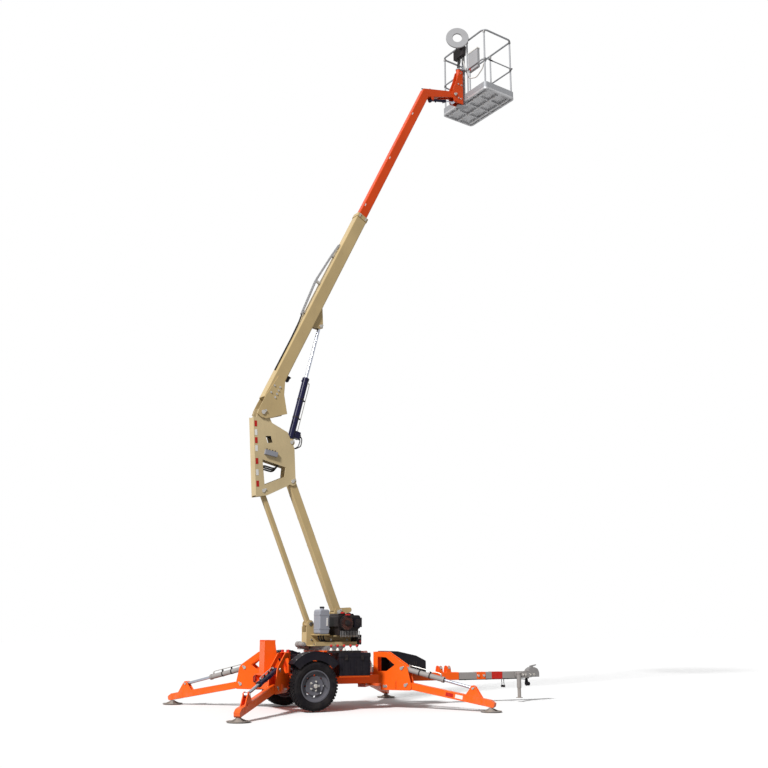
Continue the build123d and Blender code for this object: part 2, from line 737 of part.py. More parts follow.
def cylinder(plane, foot, angle, length, barrel_name, rod_name, radius, barrel_length, rod_radius,
             eye_radius, eye_width, foot_pin, foot_width, spare_in=None, spare_out=None, port_side=1):
    """A hydraulic cylinder on a pin, with the travel that is left inward or outward from this pose."""
    bar = along(plane, foot, angle)
    section = across(plane, foot, angle)
    bore = radius - 8
    tail = 34
    head = 30
    chamber = (tail + 40, barrel_length - 36)
    piston = chamber[0] + spare_in if spare_out is None else chamber[1] - head - spare_out
    with BuildPart() as barrel:
        disc(bar, (0, 0), tail, -foot_width / 2, foot_width / 2)
        disc(section, (0, 0), radius - 4, 12, tail + 14)
        disc(section, (0, 0), radius, tail + 10, barrel_length - 30)
        disc(section, (0, 0), radius + 5, barrel_length - 30, barrel_length)
        disc(section, (0, 0), bore, *chamber, mode=Mode.SUBTRACT)
        disc(section, (0, 0), rod_radius + pin_gap, chamber[1] - 4, barrel_length + 1, mode=Mode.SUBTRACT)
        disc(bar, (0, 0), foot_pin + pin_gap, -foot_width, foot_width, mode=Mode.SUBTRACT)
        for place in (tail + 60, barrel_length - 60):
            port = Plane(origin=bar.from_local_coords((place, 0, 0)), x_dir=bar.z_dir,
                         z_dir=bar.y_dir * port_side)
            disc(port, (0, 0), 12, radius - 3, radius + 14)
    finish(barrel, barrel_name)
    with BuildPart() as rod:
        disc(section, (0, 0), rod_radius, piston, length - eye_radius + 4)
        disc(section, (0, 0), bore - pin_gap, piston, piston + head)
        disc(bar, (length, 0), eye_radius, -eye_width / 2, eye_width / 2)
    finish(rod, rod_name)


# Turntable
def make_slew_ring():
    with BuildPart() as ring:
        level = Plane(origin=(slew_x, 0, ring_z), x_dir=(1, 0, 0), z_dir=(0, 0, 1))
        disc(level, (0, 0), ring_radius, 0, ring_height - eye_gap)
        disc(level, (0, 0), ring_radius - 60, -1, ring_height + 1, mode=Mode.SUBTRACT)
        with BuildSketch(level) as teeth:
            with PolarLocations(ring_radius, 72):
                Trapezoid(11, 11, 75, rotation=-90)
        extrude(teeth.sketch, amount=ring_height * 0.55)
    finish(ring, "slew_ring")
    with BuildPart() as motor:
        inner = -ring_radius - 12
        block(BOOM, (inner - 110, table_z - 46), (inner, table_z), -50, 60)
        disc(BOOM, (inner - 128, table_z + 22), motor_radius, -50, 20)
        disc(BOOM, (inner - 128, table_z + 22), motor_radius - 8, 20, motor_length)
        disc(BOOM, (inner - 128, table_z + 22), motor_radius - 18, motor_length, motor_length + 24)
        block(BOOM, (inner - 128, table_z - 46), (inner - 90, table_z - 10), -50, 20)
    finish(motor, "slew_motor")


def make_turntable():
    with BuildPart() as table:
        with BuildSketch(SLEWED.offset(table_z)) as base:
            with Locations(((table_rear + table_front) / 2, 0)):
                RectangleRounded(table_front - table_rear, 2 * table_half, 60)
        extrude(base.sketch, amount=table_plate)
        for low in (-table_half, table_half - 10):
            block(SLEWED, (table_rear + 60, low), (table_front - 60, low + 10), table_z, table_z + table_lip)
        outline = [(table_rear + 20, table_z + table_plate), (table_front - 5, table_z + table_plate),
                   (table_front + 10, lower_jack_foot[1] + 10), (table_front - 40, lower_jack_foot[1] + 60),
                   (lower_foot[0] + 96, lower_foot[1] - 120), (lower_foot[0] - 120, lower_foot[1] - 220),
                   (link_foot[0] + 70, link_foot[1] - 60), (link_foot[0] - 62, link_foot[1] - 30)]
        for start, end in cheeks(cheek_in, cheek):
            prism(BOOM, outline, start, end)
            webbed(BOOM, [(lower_foot[0], lower_foot[1], 66), (lower_foot[0] - 90, lower_foot[1] - 250, 40),
                          (lower_foot[0] + 70, lower_foot[1] - 250, 60)], start, end)
            webbed(BOOM, [(link_foot[0], link_foot[1], 54), (link_foot[0] + 30, link_foot[1] - 170, 60)],
                   start, end)
        block(BOOM, (table_rear + 20, table_z + table_plate), (table_rear + 32, link_foot[1] - 110),
              -cheek_in, cheek_in)
        for start, end in cheeks(cheek_in, cheek):
            shelf = (start, start + 225) if start > 0 else (end - 120, end)
            block(BOOM, (engine_rear - 10, engine_low - 14), (engine_front - 10, engine_low), *shelf)
        block(BOOM, (tank_rear, tank_low - 12), (tank_front, tank_low), cheek_in + cheek, tank_outer)
        out = cheek_in + cheek + pin_head
        disc(BOOM, lower_foot, pin_radius, -out, out)
        disc(BOOM, link_foot, pin_radius - 4, -out, out)
        disc(BOOM, lower_jack_foot, 18, -out, out)
    finish(table, "turntable")


def make_tank():
    with BuildPart() as tank:
        with BuildSketch(BOOM.offset(tank_inner)) as face:
            with Locations(((tank_rear + tank_front) / 2, (tank_low + tank_high) / 2)):
                RectangleRounded(tank_front - tank_rear, tank_high - tank_low, 34)
        extrude(face.sketch, amount=tank_outer - tank_inner)
        fillet(tank.edges().group_by(Axis(BOOM.origin, BOOM.z_dir))[-1], 16)
        middle = ((tank_rear + tank_front) / 2, tank_high, (tank_inner + tank_outer) / 2)
        cap = Plane(origin=BOOM.from_local_coords(middle), x_dir=BOOM.x_dir, z_dir=(0, 0, 1))
        disc(cap, (0, 0), 30, -2, 20)
    finish(tank, "oil_tank")


def make_power_unit():
    mid = (engine_inner + engine_outer) / 2
    with BuildPart() as unit:
        block(BOOM, (engine_rear + 20, engine_low), (engine_front - 30, engine_low + 120), engine_inner + 20,
              engine_outer - 10)
        with BuildSketch(BOOM.offset(engine_inner)) as face:
            with Locations(((engine_rear + engine_front) / 2, engine_low + 185)):
                RectangleRounded(engine_front - engine_rear, 190, 40)
        extrude(face.sketch, amount=engine_outer - engine_inner)
        with BuildSketch(BOOM.offset(engine_inner + 25)) as tank:
            with Locations(((engine_rear + engine_front) / 2 - 40, engine_high - 30)):
                RectangleRounded(270, 60, 24)
        extrude(tank.sketch, amount=engine_outer - engine_inner - 50)
        disc(BOOM, (engine_rear + 130, engine_low + 170), 105, engine_outer - 10, engine_outer + 36)
        disc(BOOM, (engine_rear + 130, engine_low + 170), 40, engine_outer + 36, engine_outer + 52)
        front = Plane(origin=BOOM.from_local_coords((engine_front, engine_low + 190, mid)), x_dir=BOOM.z_dir,
                      z_dir=BOOM.x_dir)
        disc(front, (0, 0), 78, -10, 24)
    finish(unit, "power_unit")


def make_ground_controls():
    rear, front, tall = control_box
    low = table_z + table_plate
    inner = table_half - 20
    with BuildPart() as box:
        with BuildSketch(BOOM.offset(cheek_in + cheek + 14)) as face:
            with Locations(((rear + front) / 2, low + tall / 2)):
                RectangleRounded(front - rear, tall, 12)
        extrude(face.sketch, amount=inner - cheek_in - cheek - 14)
        for place in (-22, 0, 22):
            disc(BOOM, ((rear + front) / 2 + place, low + 90), 8, inner, inner + 14)
        disc(BOOM, ((rear + front) / 2, low + 45), 17, inner, inner + 22)
    finish(box, "ground_controls")


# Lower boom, link and upright
def make_lower_boom():
    half = lower_width / 2
    with BuildPart() as boom:
        start = polar(lower_foot, 40, lower_angle)
        box_bar(BOOM, start, lower_angle, lower_length - 80, lower_depth, lower_width, boom_wall)
        for point in (lower_foot, lower_head):
            disc(BOOM, point, lower_depth / 2, -half, half)
        for place in (62, lower_length - 76):
            spot = polar(lower_foot, place, lower_angle)
            bulkhead = across(BOOM, spot, lower_angle)
            with BuildSketch(bulkhead) as wall:
                Rectangle(lower_width - 2 * boom_wall + 2, lower_depth - 2 * boom_wall + 2)
            extrude(wall.sketch, amount=14)
        for start_z, end_z in cheeks(22 + eye_gap, 20):
            webbed(BOOM, [(*lower_foot, 52), (*lever_tip, 34)], start_z, end_z)
        disc(BOOM, lever_tip, 45, -22 - eye_gap, 22 + eye_gap, mode=Mode.SUBTRACT)
        for point in (lower_foot, lower_head):
            disc(BOOM, point, pin_radius + pin_gap, -half - 1, half + 1, mode=Mode.SUBTRACT)
    finish(boom, "lower_boom")


def make_link():
    half = link_width / 2
    with BuildPart() as link:
        box_bar(BOOM, polar(link_foot, 30, lower_angle), lower_angle, lower_length - 60, link_depth,
                link_width)
        for point in (link_foot, link_head):
            disc(BOOM, point, link_depth / 2 + 6, -half, half)
        for point in (link_foot, link_head):
            for start, end in cheeks(half, cheek_in - half - eye_gap):
                disc(BOOM, point, pin_radius + 8, start, end)
            disc(BOOM, point, pin_radius - 4 + pin_gap, -cheek_in, cheek_in, mode=Mode.SUBTRACT)
    finish(link, "link")


def make_upright():
    left_top = shifted(upper_foot, (-142, -76))
    kink = shifted(upper_foot, (419, -245))
    corner = shifted(upper_foot, (540, -470))
    right_low = shifted(lower_head, (49, 20))
    left_low = shifted(link_head, (-115, -94))
    outline = [left_low, shifted(link_head, (60, -62)), shifted(lower_head, (-60, -62)), right_low, corner,
               kink, shifted(upper_foot, (120, -120)), left_top]
    window = [shifted(upper_foot, step) for step in ((24, -683), (69, -1040), (388, -900), (400, -762))]
    slot = [shifted(upper_foot, step) for step in ((60, -340), (100, -440), (180, -420), (150, -330))]
    edge = angle_between(left_low, left_top)
    with BuildPart() as upright:
        for start, end in cheeks(cheek_in, cheek):
            prism(BOOM, outline, start, end)
            webbed(BOOM, [(*upper_foot, 74), (upper_foot[0] - 60, upper_foot[1] - 180, 60),
                          (upper_foot[0] + 120, upper_foot[1] - 190, 60)], start, end)
            webbed(BOOM, [(*lower_head, 62), (lower_head[0] - 40, lower_head[1] + 140, 60)], start, end)
            webbed(BOOM, [(*link_head, 52), (link_head[0] + 10, link_head[1] + 140, 50)], start, end)
            webbed(BOOM, [(*lift_foot, 52), (lift_foot[0] - 80, lift_foot[1] - 110, 60)], start, end)
            prism(BOOM, window, start, end, Mode.SUBTRACT)
            prism(BOOM, slot, start, end, Mode.SUBTRACT)
        back = along(BOOM, left_low, edge)
        block(back, (20, -12), (distance(left_low, left_top) - 10, 0), -cheek_in - cheek, cheek_in + cheek)
        sill = along(BOOM, shifted(upper_foot, sill_step), sill_angle)
        block(sill, (0, 0), (sill_length, cheek), -cheek_in, cheek_in)
        out = cheek_in + cheek + pin_head
        for point, size in ((upper_foot, pin_radius), (lower_head, pin_radius), (link_head, pin_radius - 4),
                            (lift_foot, 20)):
            disc(BOOM, point, size, -out, out)
        outer = upper_width / 2 + cheek + 10
        disc(BOOM, upper_foot, pin_radius, -outer, outer)
    finish(upright, "upright")


# Upper boom, fly and gooseneck
def make_upper_boom():
    half = upper_width / 2
    with BuildPart() as boom:
        box_bar(BOOM, polar(upper_foot, upper_start, upper_angle), upper_angle, upper_end - upper_start,
                upper_depth, upper_width, boom_wall, 16)
        collar = across(BOOM, polar(upper_foot, upper_end - collar_length, upper_angle), upper_angle)
        with BuildSketch(collar) as ring:
            RectangleRounded(upper_width + 16, upper_depth + 16, 20)
            RectangleRounded(fly_width + 2 * slide_gap, fly_depth + 2 * slide_gap, 10, mode=Mode.SUBTRACT)
        extrude(ring.sketch, amount=collar_length + 12)
        local = along(BOOM, upper_foot, upper_angle)
        tail = [(-70, 70), (-60, -80), (193, -344), (417, -169), (620, 16 - upper_depth / 2), (620, 40),
                (250, 80)]
        for start, end in cheeks(half, cheek):
            prism(local, tail, start, end)
            webbed(local, [(0, 0, 78), (150, 0, 80)], start, end)
        block(local, (upper_start, -upper_depth / 2 - 14), (upper_start + bulkhead, upper_depth / 2 - 4),
              -half, half)
        root = boom_wall / 2 - upper_depth / 2
        for start, end in cheeks(lift_eye_width / 2 + eye_gap, 14):
            lug = (lift_lug_along, -lift_lug_drop)
            prism(local, [(lug[0] - 90, root), (lug[0] - 42, lug[1] - 10), (lug[0] - 8, lug[1] - 46),
                          (lug[0] + 40, lug[1] - 30), (lug[0] + 300, root)], start, end)
            head = (start - 8, start) if start < 0 else (end, end + 8)
            disc(local, lug, 24, *head)
        disc(BOOM, upper_foot, pin_radius + pin_gap, -half - cheek - 1, half + cheek + 1, mode=Mode.SUBTRACT)
    finish(boom, "upper_boom")


def make_cable_carrier():
    top = upper_depth / 2
    local = along(BOOM, upper_foot, upper_angle)
    path = [(carrier_start + share * carrier_length, top + rise)
            for share, rise in ((0, 52), (0.44, 98), (0.83, 55), (1, 28))]
    with BuildPart() as carrier:
        inner = [(x, y - carrier_thick) for x, y in path]
        prism(local, path[::-1] + inner, -24, 24)
        for x, y in path[:-1]:
            x = max(x, carrier_start + carrier_post)
            block(local, (x - carrier_post / 2, top), (x + carrier_post / 2, y - carrier_thick + 2), -20, 20)
        end = carrier_start + carrier_length
        block(local, (end - 60, top), (end, path[-1][1] - carrier_thick + 2), -30, 30)
    finish(carrier, "cable_carrier")


def make_fly():
    end_local = along(BOOM, upper_foot, upper_angle)
    miter = fly_depth / 2 * tan(radians(goose_turn / 2))
    with BuildPart() as fly:
        box_bar(BOOM, polar(upper_foot, fly_tail, upper_angle), upper_angle, fly_elbow + 120 - fly_tail,
                fly_depth, fly_width, boom_wall)
        cutter = [(fly_elbow - 2 * miter, -fly_depth), (fly_elbow + 400, -fly_depth),
                  (fly_elbow + 400, fly_depth), (fly_elbow + 2 * miter, fly_depth)]
        prism(end_local, cutter, -fly_width, fly_width, Mode.SUBTRACT)
        pads = across(BOOM, polar(upper_foot, fly_tail, upper_angle), upper_angle)
        with BuildSketch(pads) as ring:
            RectangleRounded(upper_width - 2 * boom_wall - 2 * slide_gap,
                             upper_depth - 2 * boom_wall - 2 * slide_gap, 16)
            RectangleRounded(fly_width - 2, fly_depth - 2, 10, mode=Mode.SUBTRACT)
        extrude(ring.sketch, amount=90)
    finish(fly, "fly_boom")
    with BuildPart() as goose:
        local = along(BOOM, elbow, goose_angle)
        half = fly_width / 2
        deep = fly_depth / 2
        back = deep * tan(radians(goose_turn / 2))
        tip = goose_end_depth / 2
        prism(local, [(-back, deep), (back, -deep), (goose_length - 120, -tip), (goose_length, -tip),
                      (goose_length, tip), (goose_length - 120, tip + 6)], -half, half)
        disc(BOOM, level_pin, tip, -half, half)
        inner = half - 2 * boom_wall
        for start, end in cheeks(inner, 2 * boom_wall):
            webbed(local, [(*slave_foot, 28), (slave_foot[0], 0, 44)], start, end)
        slot = slave_barrel_radius + 5 + swing_gap
        block(local, (slave_foot[0] + tip + 110, -deep), (goose_length + tip + 5, 28 - tip), -slot, slot,
              Mode.SUBTRACT)
        disc(local, slave_foot, slave_pin, -half - 6, half + 6)
        disc(BOOM, level_pin, pin_radius - 3, -cheek_in - cheek - 10, cheek_in + cheek + 10)
    finish(goose, "gooseneck")


# Platform
def make_platform_bracket():
    half = cheek_in + eye_gap
    with BuildPart() as bracket:
        front = yoke_r + yoke_radius + 4
        outline = [(yoke_r - 130, bracket_low - 20), (front, bracket_low - 20), (front, bracket_high - 40),
                   (yoke_r - 30, bracket_high - 40), (yoke_r - 100, bracket_low + 425),
                   (level_pin[0] - 40, level_pin[1] + 90)]
        for start, end in cheeks(half, cheek):
            prism(BOOM, outline, start, end)
            disc(BOOM, level_pin, 66, start, end)
            webbed(BOOM, [(*level_pin, 60), (*slave_end, 36), (yoke_r - 60, bracket_low + 30, 40)],
                   start, end)
            head = (start - 8, start) if start < 0 else (end, end + 8)
            disc(BOOM, slave_end, 18, *head)
        sleeve = Plane(origin=BOOM.from_local_coords((yoke_r, 0, 0)), x_dir=BOOM.x_dir, z_dir=(0, 0, 1))
        disc(sleeve, (0, 0), yoke_radius, bracket_low, bracket_high)
        block(BOOM, (yoke_r + 20, bracket_low), (yoke_r + 40, bracket_high - 60), -half - 2, half + 2)
        block(BOOM, (yoke_r - 26, bracket_high - 54), (yoke_r + 40, bracket_high - 40), -half - 2, half + 2)
        disc(sleeve, (0, 0), post_radius + pin_gap, bracket_low - 30, bracket_high + 1, mode=Mode.SUBTRACT)
        disc(BOOM, level_pin, pin_radius - 3 + pin_gap, -half - cheek - 1, half + cheek + 1,
             mode=Mode.SUBTRACT)
    finish(bracket, "platform_bracket")


def tube(points, radius):
    """A straight round tube between two points."""
    start, end = Vector(*points[0]), Vector(*points[1])
    section = Plane(origin=start, z_dir=end - start)
    disc(section, (0, 0), radius, 0, (end - start).length)


def rail_loop(level, tube_radius, open_side=False):
    """A rail round the platform at one height; an open one leaves out the entry's side."""
    near, far = -platform_width / 2 + tube_radius, platform_width / 2 - tube_radius
    low, high = platform_edge + tube_radius, platform_edge + platform_depth - tube_radius
    with BuildSketch(SLEWED.offset(level)) as plan:
        with Locations(((low + high) / 2, 0)):
            RectangleRounded(high - low, far - near, corner_radius)
    wire = plan.sketch.faces()[0].outer_wire()
    with BuildSketch(Plane(origin=wire @ 0, z_dir=wire % 0)) as section:
        Circle(tube_radius)
    sweep(section.sketch, path=wire)
    if open_side:
        end = post_inset - 8
        block(SLEWED, (low + end, near - 2 * tube_radius), (high - end, near + corner_radius),
              level - 2 * tube_radius, level + 2 * tube_radius, Mode.SUBTRACT)


def make_platform():
    near, far = -platform_width / 2 + rail_radius, platform_width / 2 - rail_radius
    low, high = platform_edge + rail_radius, platform_edge + platform_depth - rail_radius
    top = floor_z + platform_height
    mid = floor_z + mid_rail_height
    deck = floor_z + floor_thick
    with BuildPart() as cage:
        rail_loop(top, rail_radius)
        rail_loop(mid, rail_radius - 3, open_side=True)
        for x in (low, high):
            for y in (near, far):
                shift_x = post_inset if x == low else -post_inset
                shift_y = post_inset if y == near else -post_inset
                foot = SLEWED.from_local_coords((x + shift_x, y + shift_y, deck))
                tube((foot, (foot.X, foot.Y, top)), rail_radius - 2)
        for y in (-120, 120):
            foot = SLEWED.from_local_coords((low, y, deck))
            tube((foot, (foot.X, foot.Y, top)), rail_radius - 3)
        foot = SLEWED.from_local_coords((high, 0, deck))
        tube((foot, (foot.X, foot.Y, top)), rail_radius - 3)
        with BuildSketch(SLEWED.offset(deck)) as boards:
            with Locations((platform_edge + platform_depth / 2, 0)):
                RectangleRounded(platform_depth - 4, platform_width - 4, 58)
                RectangleRounded(platform_depth - 4 - 2 * sheet, platform_width - 4 - 2 * sheet, 58 - sheet,
                                 mode=Mode.SUBTRACT)
        extrude(boards.sketch, amount=toe_height)
        arm_end = platform_edge + 20
        for level in (bracket_low - 38, bracket_high + 4):
            with BuildSketch(SLEWED.offset(level)) as arm:
                with Locations((yoke_r, 0)):
                    Circle(48)
                with Locations((arm_end, -70), (arm_end, 70)):
                    Circle(16)
                make_hull()
            extrude(arm.sketch, amount=14)
        post = Plane(origin=SLEWED.from_local_coords((yoke_r, 0, 0)), x_dir=SLEWED.x_dir, z_dir=(0, 0, 1))
        disc(post, (0, 0), post_radius, bracket_low - 30, bracket_high + 8)
        block(SLEWED, (platform_edge + 2, -26), (platform_edge + 34, 26), bracket_low - 38, top)
        post_y = near + post_inset
        disc(BOOM, (high - post_inset, mid), entry_pin, -post_y, platform_width / 2)
        catch = low + post_inset
        ledge = mid - entry_radius - pin_gap
        block(BOOM, (catch - 16, ledge - 8), (catch + 16, ledge), -post_y, platform_width / 2)
        block(BOOM, (catch - 16, ledge - 40), (catch + 16, ledge), -post_y, 6 - post_y + rail_radius)
    finish(cage, "platform_cage")

    with BuildPart() as deck_part:
        with BuildSketch(SLEWED.offset(floor_z)) as plan:
            with Locations((platform_edge + platform_depth / 2, 0)):
                RectangleRounded(platform_depth, platform_width, 60)
        extrude(plan.sketch, amount=floor_thick)
        with BuildSketch(SLEWED.offset(floor_z)) as under:
            with Locations((platform_edge + platform_depth / 2, 0)):
                with GridLocations((platform_depth - 40) / 2, (platform_width - 40) / 4, 2, 4):
                    Rectangle((platform_depth - 100) / 2, (platform_width - 160) / 4)
        extrude(under.sketch, amount=floor_thick - 6, mode=Mode.SUBTRACT)
        block(SLEWED, (platform_edge, -27), (platform_edge + 36, 27), floor_z - 1, deck + 1, Mode.SUBTRACT)
        with BuildSketch(SLEWED.offset(deck)) as tread:
            with Locations((platform_edge + platform_depth / 2, 0)):
                Rectangle(platform_depth - 2 * tread_margin, platform_width - 2 * tread_margin)
        extrude(tread.sketch, amount=tread_rise)
    finish(deck_part, "platform_floor")


def make_console():
    low = floor_z + console_low
    high = low + console_tall
    rear = console_r - console_depth / 2
    front = console_r + console_depth / 2
    with BuildPart() as console:
        prism(BOOM, [(rear, low), (front, low), (front + 16, high), (front - 10, high + 30), (rear, high)],
              -console_half, console_half)
        for y in (-70, 0, 70):
            stick = Plane(origin=BOOM.from_local_coords((console_r - 10, high + 10, y)), x_dir=BOOM.x_dir,
                          z_dir=(0, 0, 1))
            disc(stick, (0, 0), 7, -10, 46)
            disc(stick, (0, 0), 12, 46, 66)
        block(BOOM, (front - 20, low + 30), (platform_edge + 2, low + 100), -24, 24)
        corner = Vector(rear, -console_half, 0)
        facing = Vector(-sin(radians(guard_turn)), -cos(radians(guard_turn)), 0)
        run = Vector(-cos(radians(guard_turn)), sin(radians(guard_turn)), 0)
        seat = corner + facing * guard_seat_depth
        tip = seat + run * guard_seat
        prism(SLEWED, [(rear + 1, 1 - console_half), (seat.X, seat.Y), (tip.X, tip.Y),
                       (rear + 1, tip.Y + 36)], high - guard_seat, high)
    finish(console, "platform_console")
    with BuildPart() as guard:
        back = seat + facing * pin_gap + run * 1.5 * guard_seat
        facing_out = SLEWED.from_local_coords(facing) - SLEWED.origin
        ring_plane = Plane(origin=SLEWED.from_local_coords(back + Vector(0, 0, floor_z + guard_rise)),
                           x_dir=Vector(0, 0, 1).cross(facing_out), z_dir=facing_out)
        with BuildSketch(ring_plane) as ring:
            Circle(guard_reach)
            Circle(guard_hole, mode=Mode.SUBTRACT)
        extrude(ring.sketch, amount=2 * guard_half)
        fillet(guard.edges(), 10)
    finish(guard, "console_guard")


def make_entry_bar():
    low = platform_edge + rail_radius + post_inset
    high = platform_edge + platform_depth - rail_radius - post_inset
    mid = floor_z + mid_rail_height
    inner = platform_width / 2 - post_inset
    outer = platform_width / 2 - 3
    middle = outer - entry_radius
    with BuildPart() as bar:
        disc(BOOM, (high, mid), entry_pin + 9, inner + slide_gap, outer)
        run = Plane(origin=BOOM.from_local_coords((high, mid, middle)), x_dir=BOOM.z_dir,
                    z_dir=BOOM.x_dir * -1)
        disc(run, (0, 0), entry_radius, 4, high - low + 20)
        disc(run, (0, 0), entry_radius - 3, high - low + 18, high - low + 30)
        disc(BOOM, (high, mid), entry_pin + pin_gap, inner - 1, outer + 1, mode=Mode.SUBTRACT)
    finish(bar, "entry_bar")


for side, name in ((1, "left"), (-1, "right")):
    make_tyre(side, f"tyre_{name}")
    make_rim(side, f"rim_{name}")
make_axle()
make_chassis()
make_boom_rest()
make_fenders()
make_battery_boxes()
make_hood()
make_valves()
make_lamps()
make_tongue()
make_coupler()
make_jack()
for name, (front, left) in corners.items():
    make_outrigger(name, front, left)
make_slew_ring()
make_turntable()
make_tank()
make_power_unit()
make_ground_controls()
make_lower_boom()
make_link()
make_upright()
cylinder(BOOM, lower_jack_foot, angle_between(lower_jack_foot, lever_tip),
         distance(lower_jack_foot, lever_tip), "lower_barrel", "lower_rod", lower_barrel_radius,
         lower_barrel_length, lower_rod_radius, 32, 44, 18, 100, spare_in=lower_spare_in)
make_upper_boom()
make_cable_carrier()
cylinder(BOOM, lift_foot, angle_between(lift_foot, lift_lug), distance(lift_foot, lift_lug),
         "lift_barrel", "lift_rod", lift_barrel_radius, lift_barrel_length, lift_rod_radius,
         lift_eye_radius, lift_eye_width, 20, 100, spare_out=lift_spare_out)
make_fly()
cylinder(BOOM, slave_start, angle_between(slave_start, slave_end), distance(slave_start, slave_end),
         "slave_barrel", "slave_rod", slave_barrel_radius, slave_barrel_length, slave_rod_radius,
         slave_eye_radius, 110, slave_pin, 85, spare_in=slave_spare_in, port_side=-1)
make_platform_bracket()
make_platform()
make_console()
make_entry_bar()
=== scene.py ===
import math

import bmesh
import bpy
from mathutils import Matrix, Vector


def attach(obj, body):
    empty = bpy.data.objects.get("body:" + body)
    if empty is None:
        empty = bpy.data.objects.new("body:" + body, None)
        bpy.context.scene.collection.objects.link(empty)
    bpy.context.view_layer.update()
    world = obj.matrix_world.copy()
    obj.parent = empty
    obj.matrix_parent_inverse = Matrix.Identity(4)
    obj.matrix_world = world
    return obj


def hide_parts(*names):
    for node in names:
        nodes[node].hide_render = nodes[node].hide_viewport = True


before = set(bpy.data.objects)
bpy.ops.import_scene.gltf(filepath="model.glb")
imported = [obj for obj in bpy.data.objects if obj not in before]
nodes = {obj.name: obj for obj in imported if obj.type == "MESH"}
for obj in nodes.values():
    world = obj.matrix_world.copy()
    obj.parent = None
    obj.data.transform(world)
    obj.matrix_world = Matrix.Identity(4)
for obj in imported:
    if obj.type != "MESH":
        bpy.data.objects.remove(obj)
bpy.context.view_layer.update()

# Places in metres and angles in degrees, copied from the solids
SLEW_X = -0.858
SLEW_REST = math.radians(9.6)
AXLE = (-1.252, 0.337)
FENDER_Z = 0.370
VALVE_Y = -0.590
VALVE_SPAN = (-0.190, 0.290)
TRACK = 1.180
LEG_PIVOT = (0.980, 0.660, 0.320)
PAD_REACH = (1.745, 1.6252)
LEG_END_Z = 0.112
LOWER_FOOT = (0.186, 1.317)
LINK_FOOT = (-0.281, 1.146)
LOWER_LENGTH = 1.996
LOWER_ANGLE = 113.9
UPPER_STEP = (-0.522, 0.955)
UPPER_ANGLE = 63.7
FLY_ELBOW = 6.900
GOOSE_TURN = 48.1
LEVEL_PIN = (2.556, 10.462)
YOKE_R = 2.700
CONSOLE_R = 2.738
PLATFORM = (2.806, 0.705, 1.220)
FLOOR_Z = 10.452
TREAD_RISE = 0.003
TREAD_MARGIN = 0.062
MID_RAIL_Z = 11.030
TOP_RAIL_Z = 11.620
TONGUE_Z = 0.395
RING_Z = 0.786
TABLE_Z = 0.848
FENDER_SKIN = 0.4162
HOOD_SIDE = 0.2155
BATTERY_SIDE = 0.6475
BOOT_Z = 0.790
KNOB_Z = 0.836
TANK = (-0.188, 0.220)
CORNERS = {"front_left": (1, 1), "front_right": (1, -1), "rear_left": (-1, 1), "rear_right": (-1, -1)}
SIDES = ((1, "left"), (-1, "right"))


def polar(start, length, angle):
    """The point at a length and an angle from another, in the booms' plane."""
    turn = math.radians(angle)
    return (start[0] + length * math.cos(turn), start[1] + length * math.sin(turn))


def shifted(start, step):
    return (start[0] + step[0], start[1] + step[1])


LOWER_HEAD = polar(LOWER_FOOT, LOWER_LENGTH, LOWER_ANGLE)
LINK_HEAD = polar(LINK_FOOT, LOWER_LENGTH, LOWER_ANGLE)
UPPER_FOOT = shifted(LOWER_HEAD, UPPER_STEP)
ELBOW = polar(UPPER_FOOT, FLY_ELBOW, UPPER_ANGLE)
LIFT_FOOT = shifted(UPPER_FOOT, (0.489, -0.385))
LIFT_LUG = polar(polar(UPPER_FOOT, 1.750, UPPER_ANGLE), 0.212, UPPER_ANGLE - 90)


def axes(origin, x, z):
    """A place with its x and z axes given."""
    x = Vector(x).normalized()
    z = Vector(z).normalized()
    y = z.cross(x)
    return Matrix.Translation(origin) @ Matrix((x, y, z)).transposed().to_4x4()


def boom(start, angle=0.0, side=0.0):
    """A place in the booms' plane: x along the angle, z towards the right of the machine."""
    turn = math.radians(angle)
    c, s = math.cos(SLEW_REST), math.sin(SLEW_REST)
    normal = Vector((s, -c, 0))
    origin = Vector((SLEW_X + start[0] * c, start[0] * s, start[1])) + normal * side
    return axes(origin, (c * math.cos(turn), s * math.cos(turn), math.sin(turn)), normal)


def leg(name, out, up, angle=0.0, side=0.0):
    """A place in an outrigger's plane: x outward from its pivot, y up."""
    front, left = CORNERS[name]
    reach = Vector((front * (PAD_REACH[0] - LEG_PIVOT[0]), left * (PAD_REACH[1] - LEG_PIVOT[1]),
                    0)).normalized()
    normal = reach.cross(Vector((0, 0, 1)))
    turn = math.radians(angle)
    origin = Vector((SLEW_X + front * LEG_PIVOT[0], left * LEG_PIVOT[1], up)) + reach * out + normal * side
    return axes(origin, reach * math.cos(turn) + Vector((0, 0, math.sin(turn))), normal)


def between(start, end):
    """The length and the angle from one point to another."""
    return math.dist(start, end), math.degrees(math.atan2(end[1] - start[1], end[0] - start[0]))


def on(make, start, angle, along, up, side=0.0, turn=0.0):
    """A place on a bar of a plane: along it, up from it and to its side."""
    spot = polar(polar(start, along, angle), up, angle + 90)
    return make(spot, angle + turn, side)


def faced(place, x, z, sign=1):
    """A place turned so that its x and z lie along two of its own axes."""
    return axes(place.translation, place.col[x][:3], Vector(place.col[z][:3]) * sign)


def outward(place, side):
    """A place on a right-hand face as it is, or turned over to face out on the other side."""
    return place if side > 0 else place @ Matrix.Rotation(math.pi, 4, "X")


def around(count, shift=0.0):
    """Even angles round a circle."""
    return [2 * math.pi * (k + shift) / count for k in range(count)]


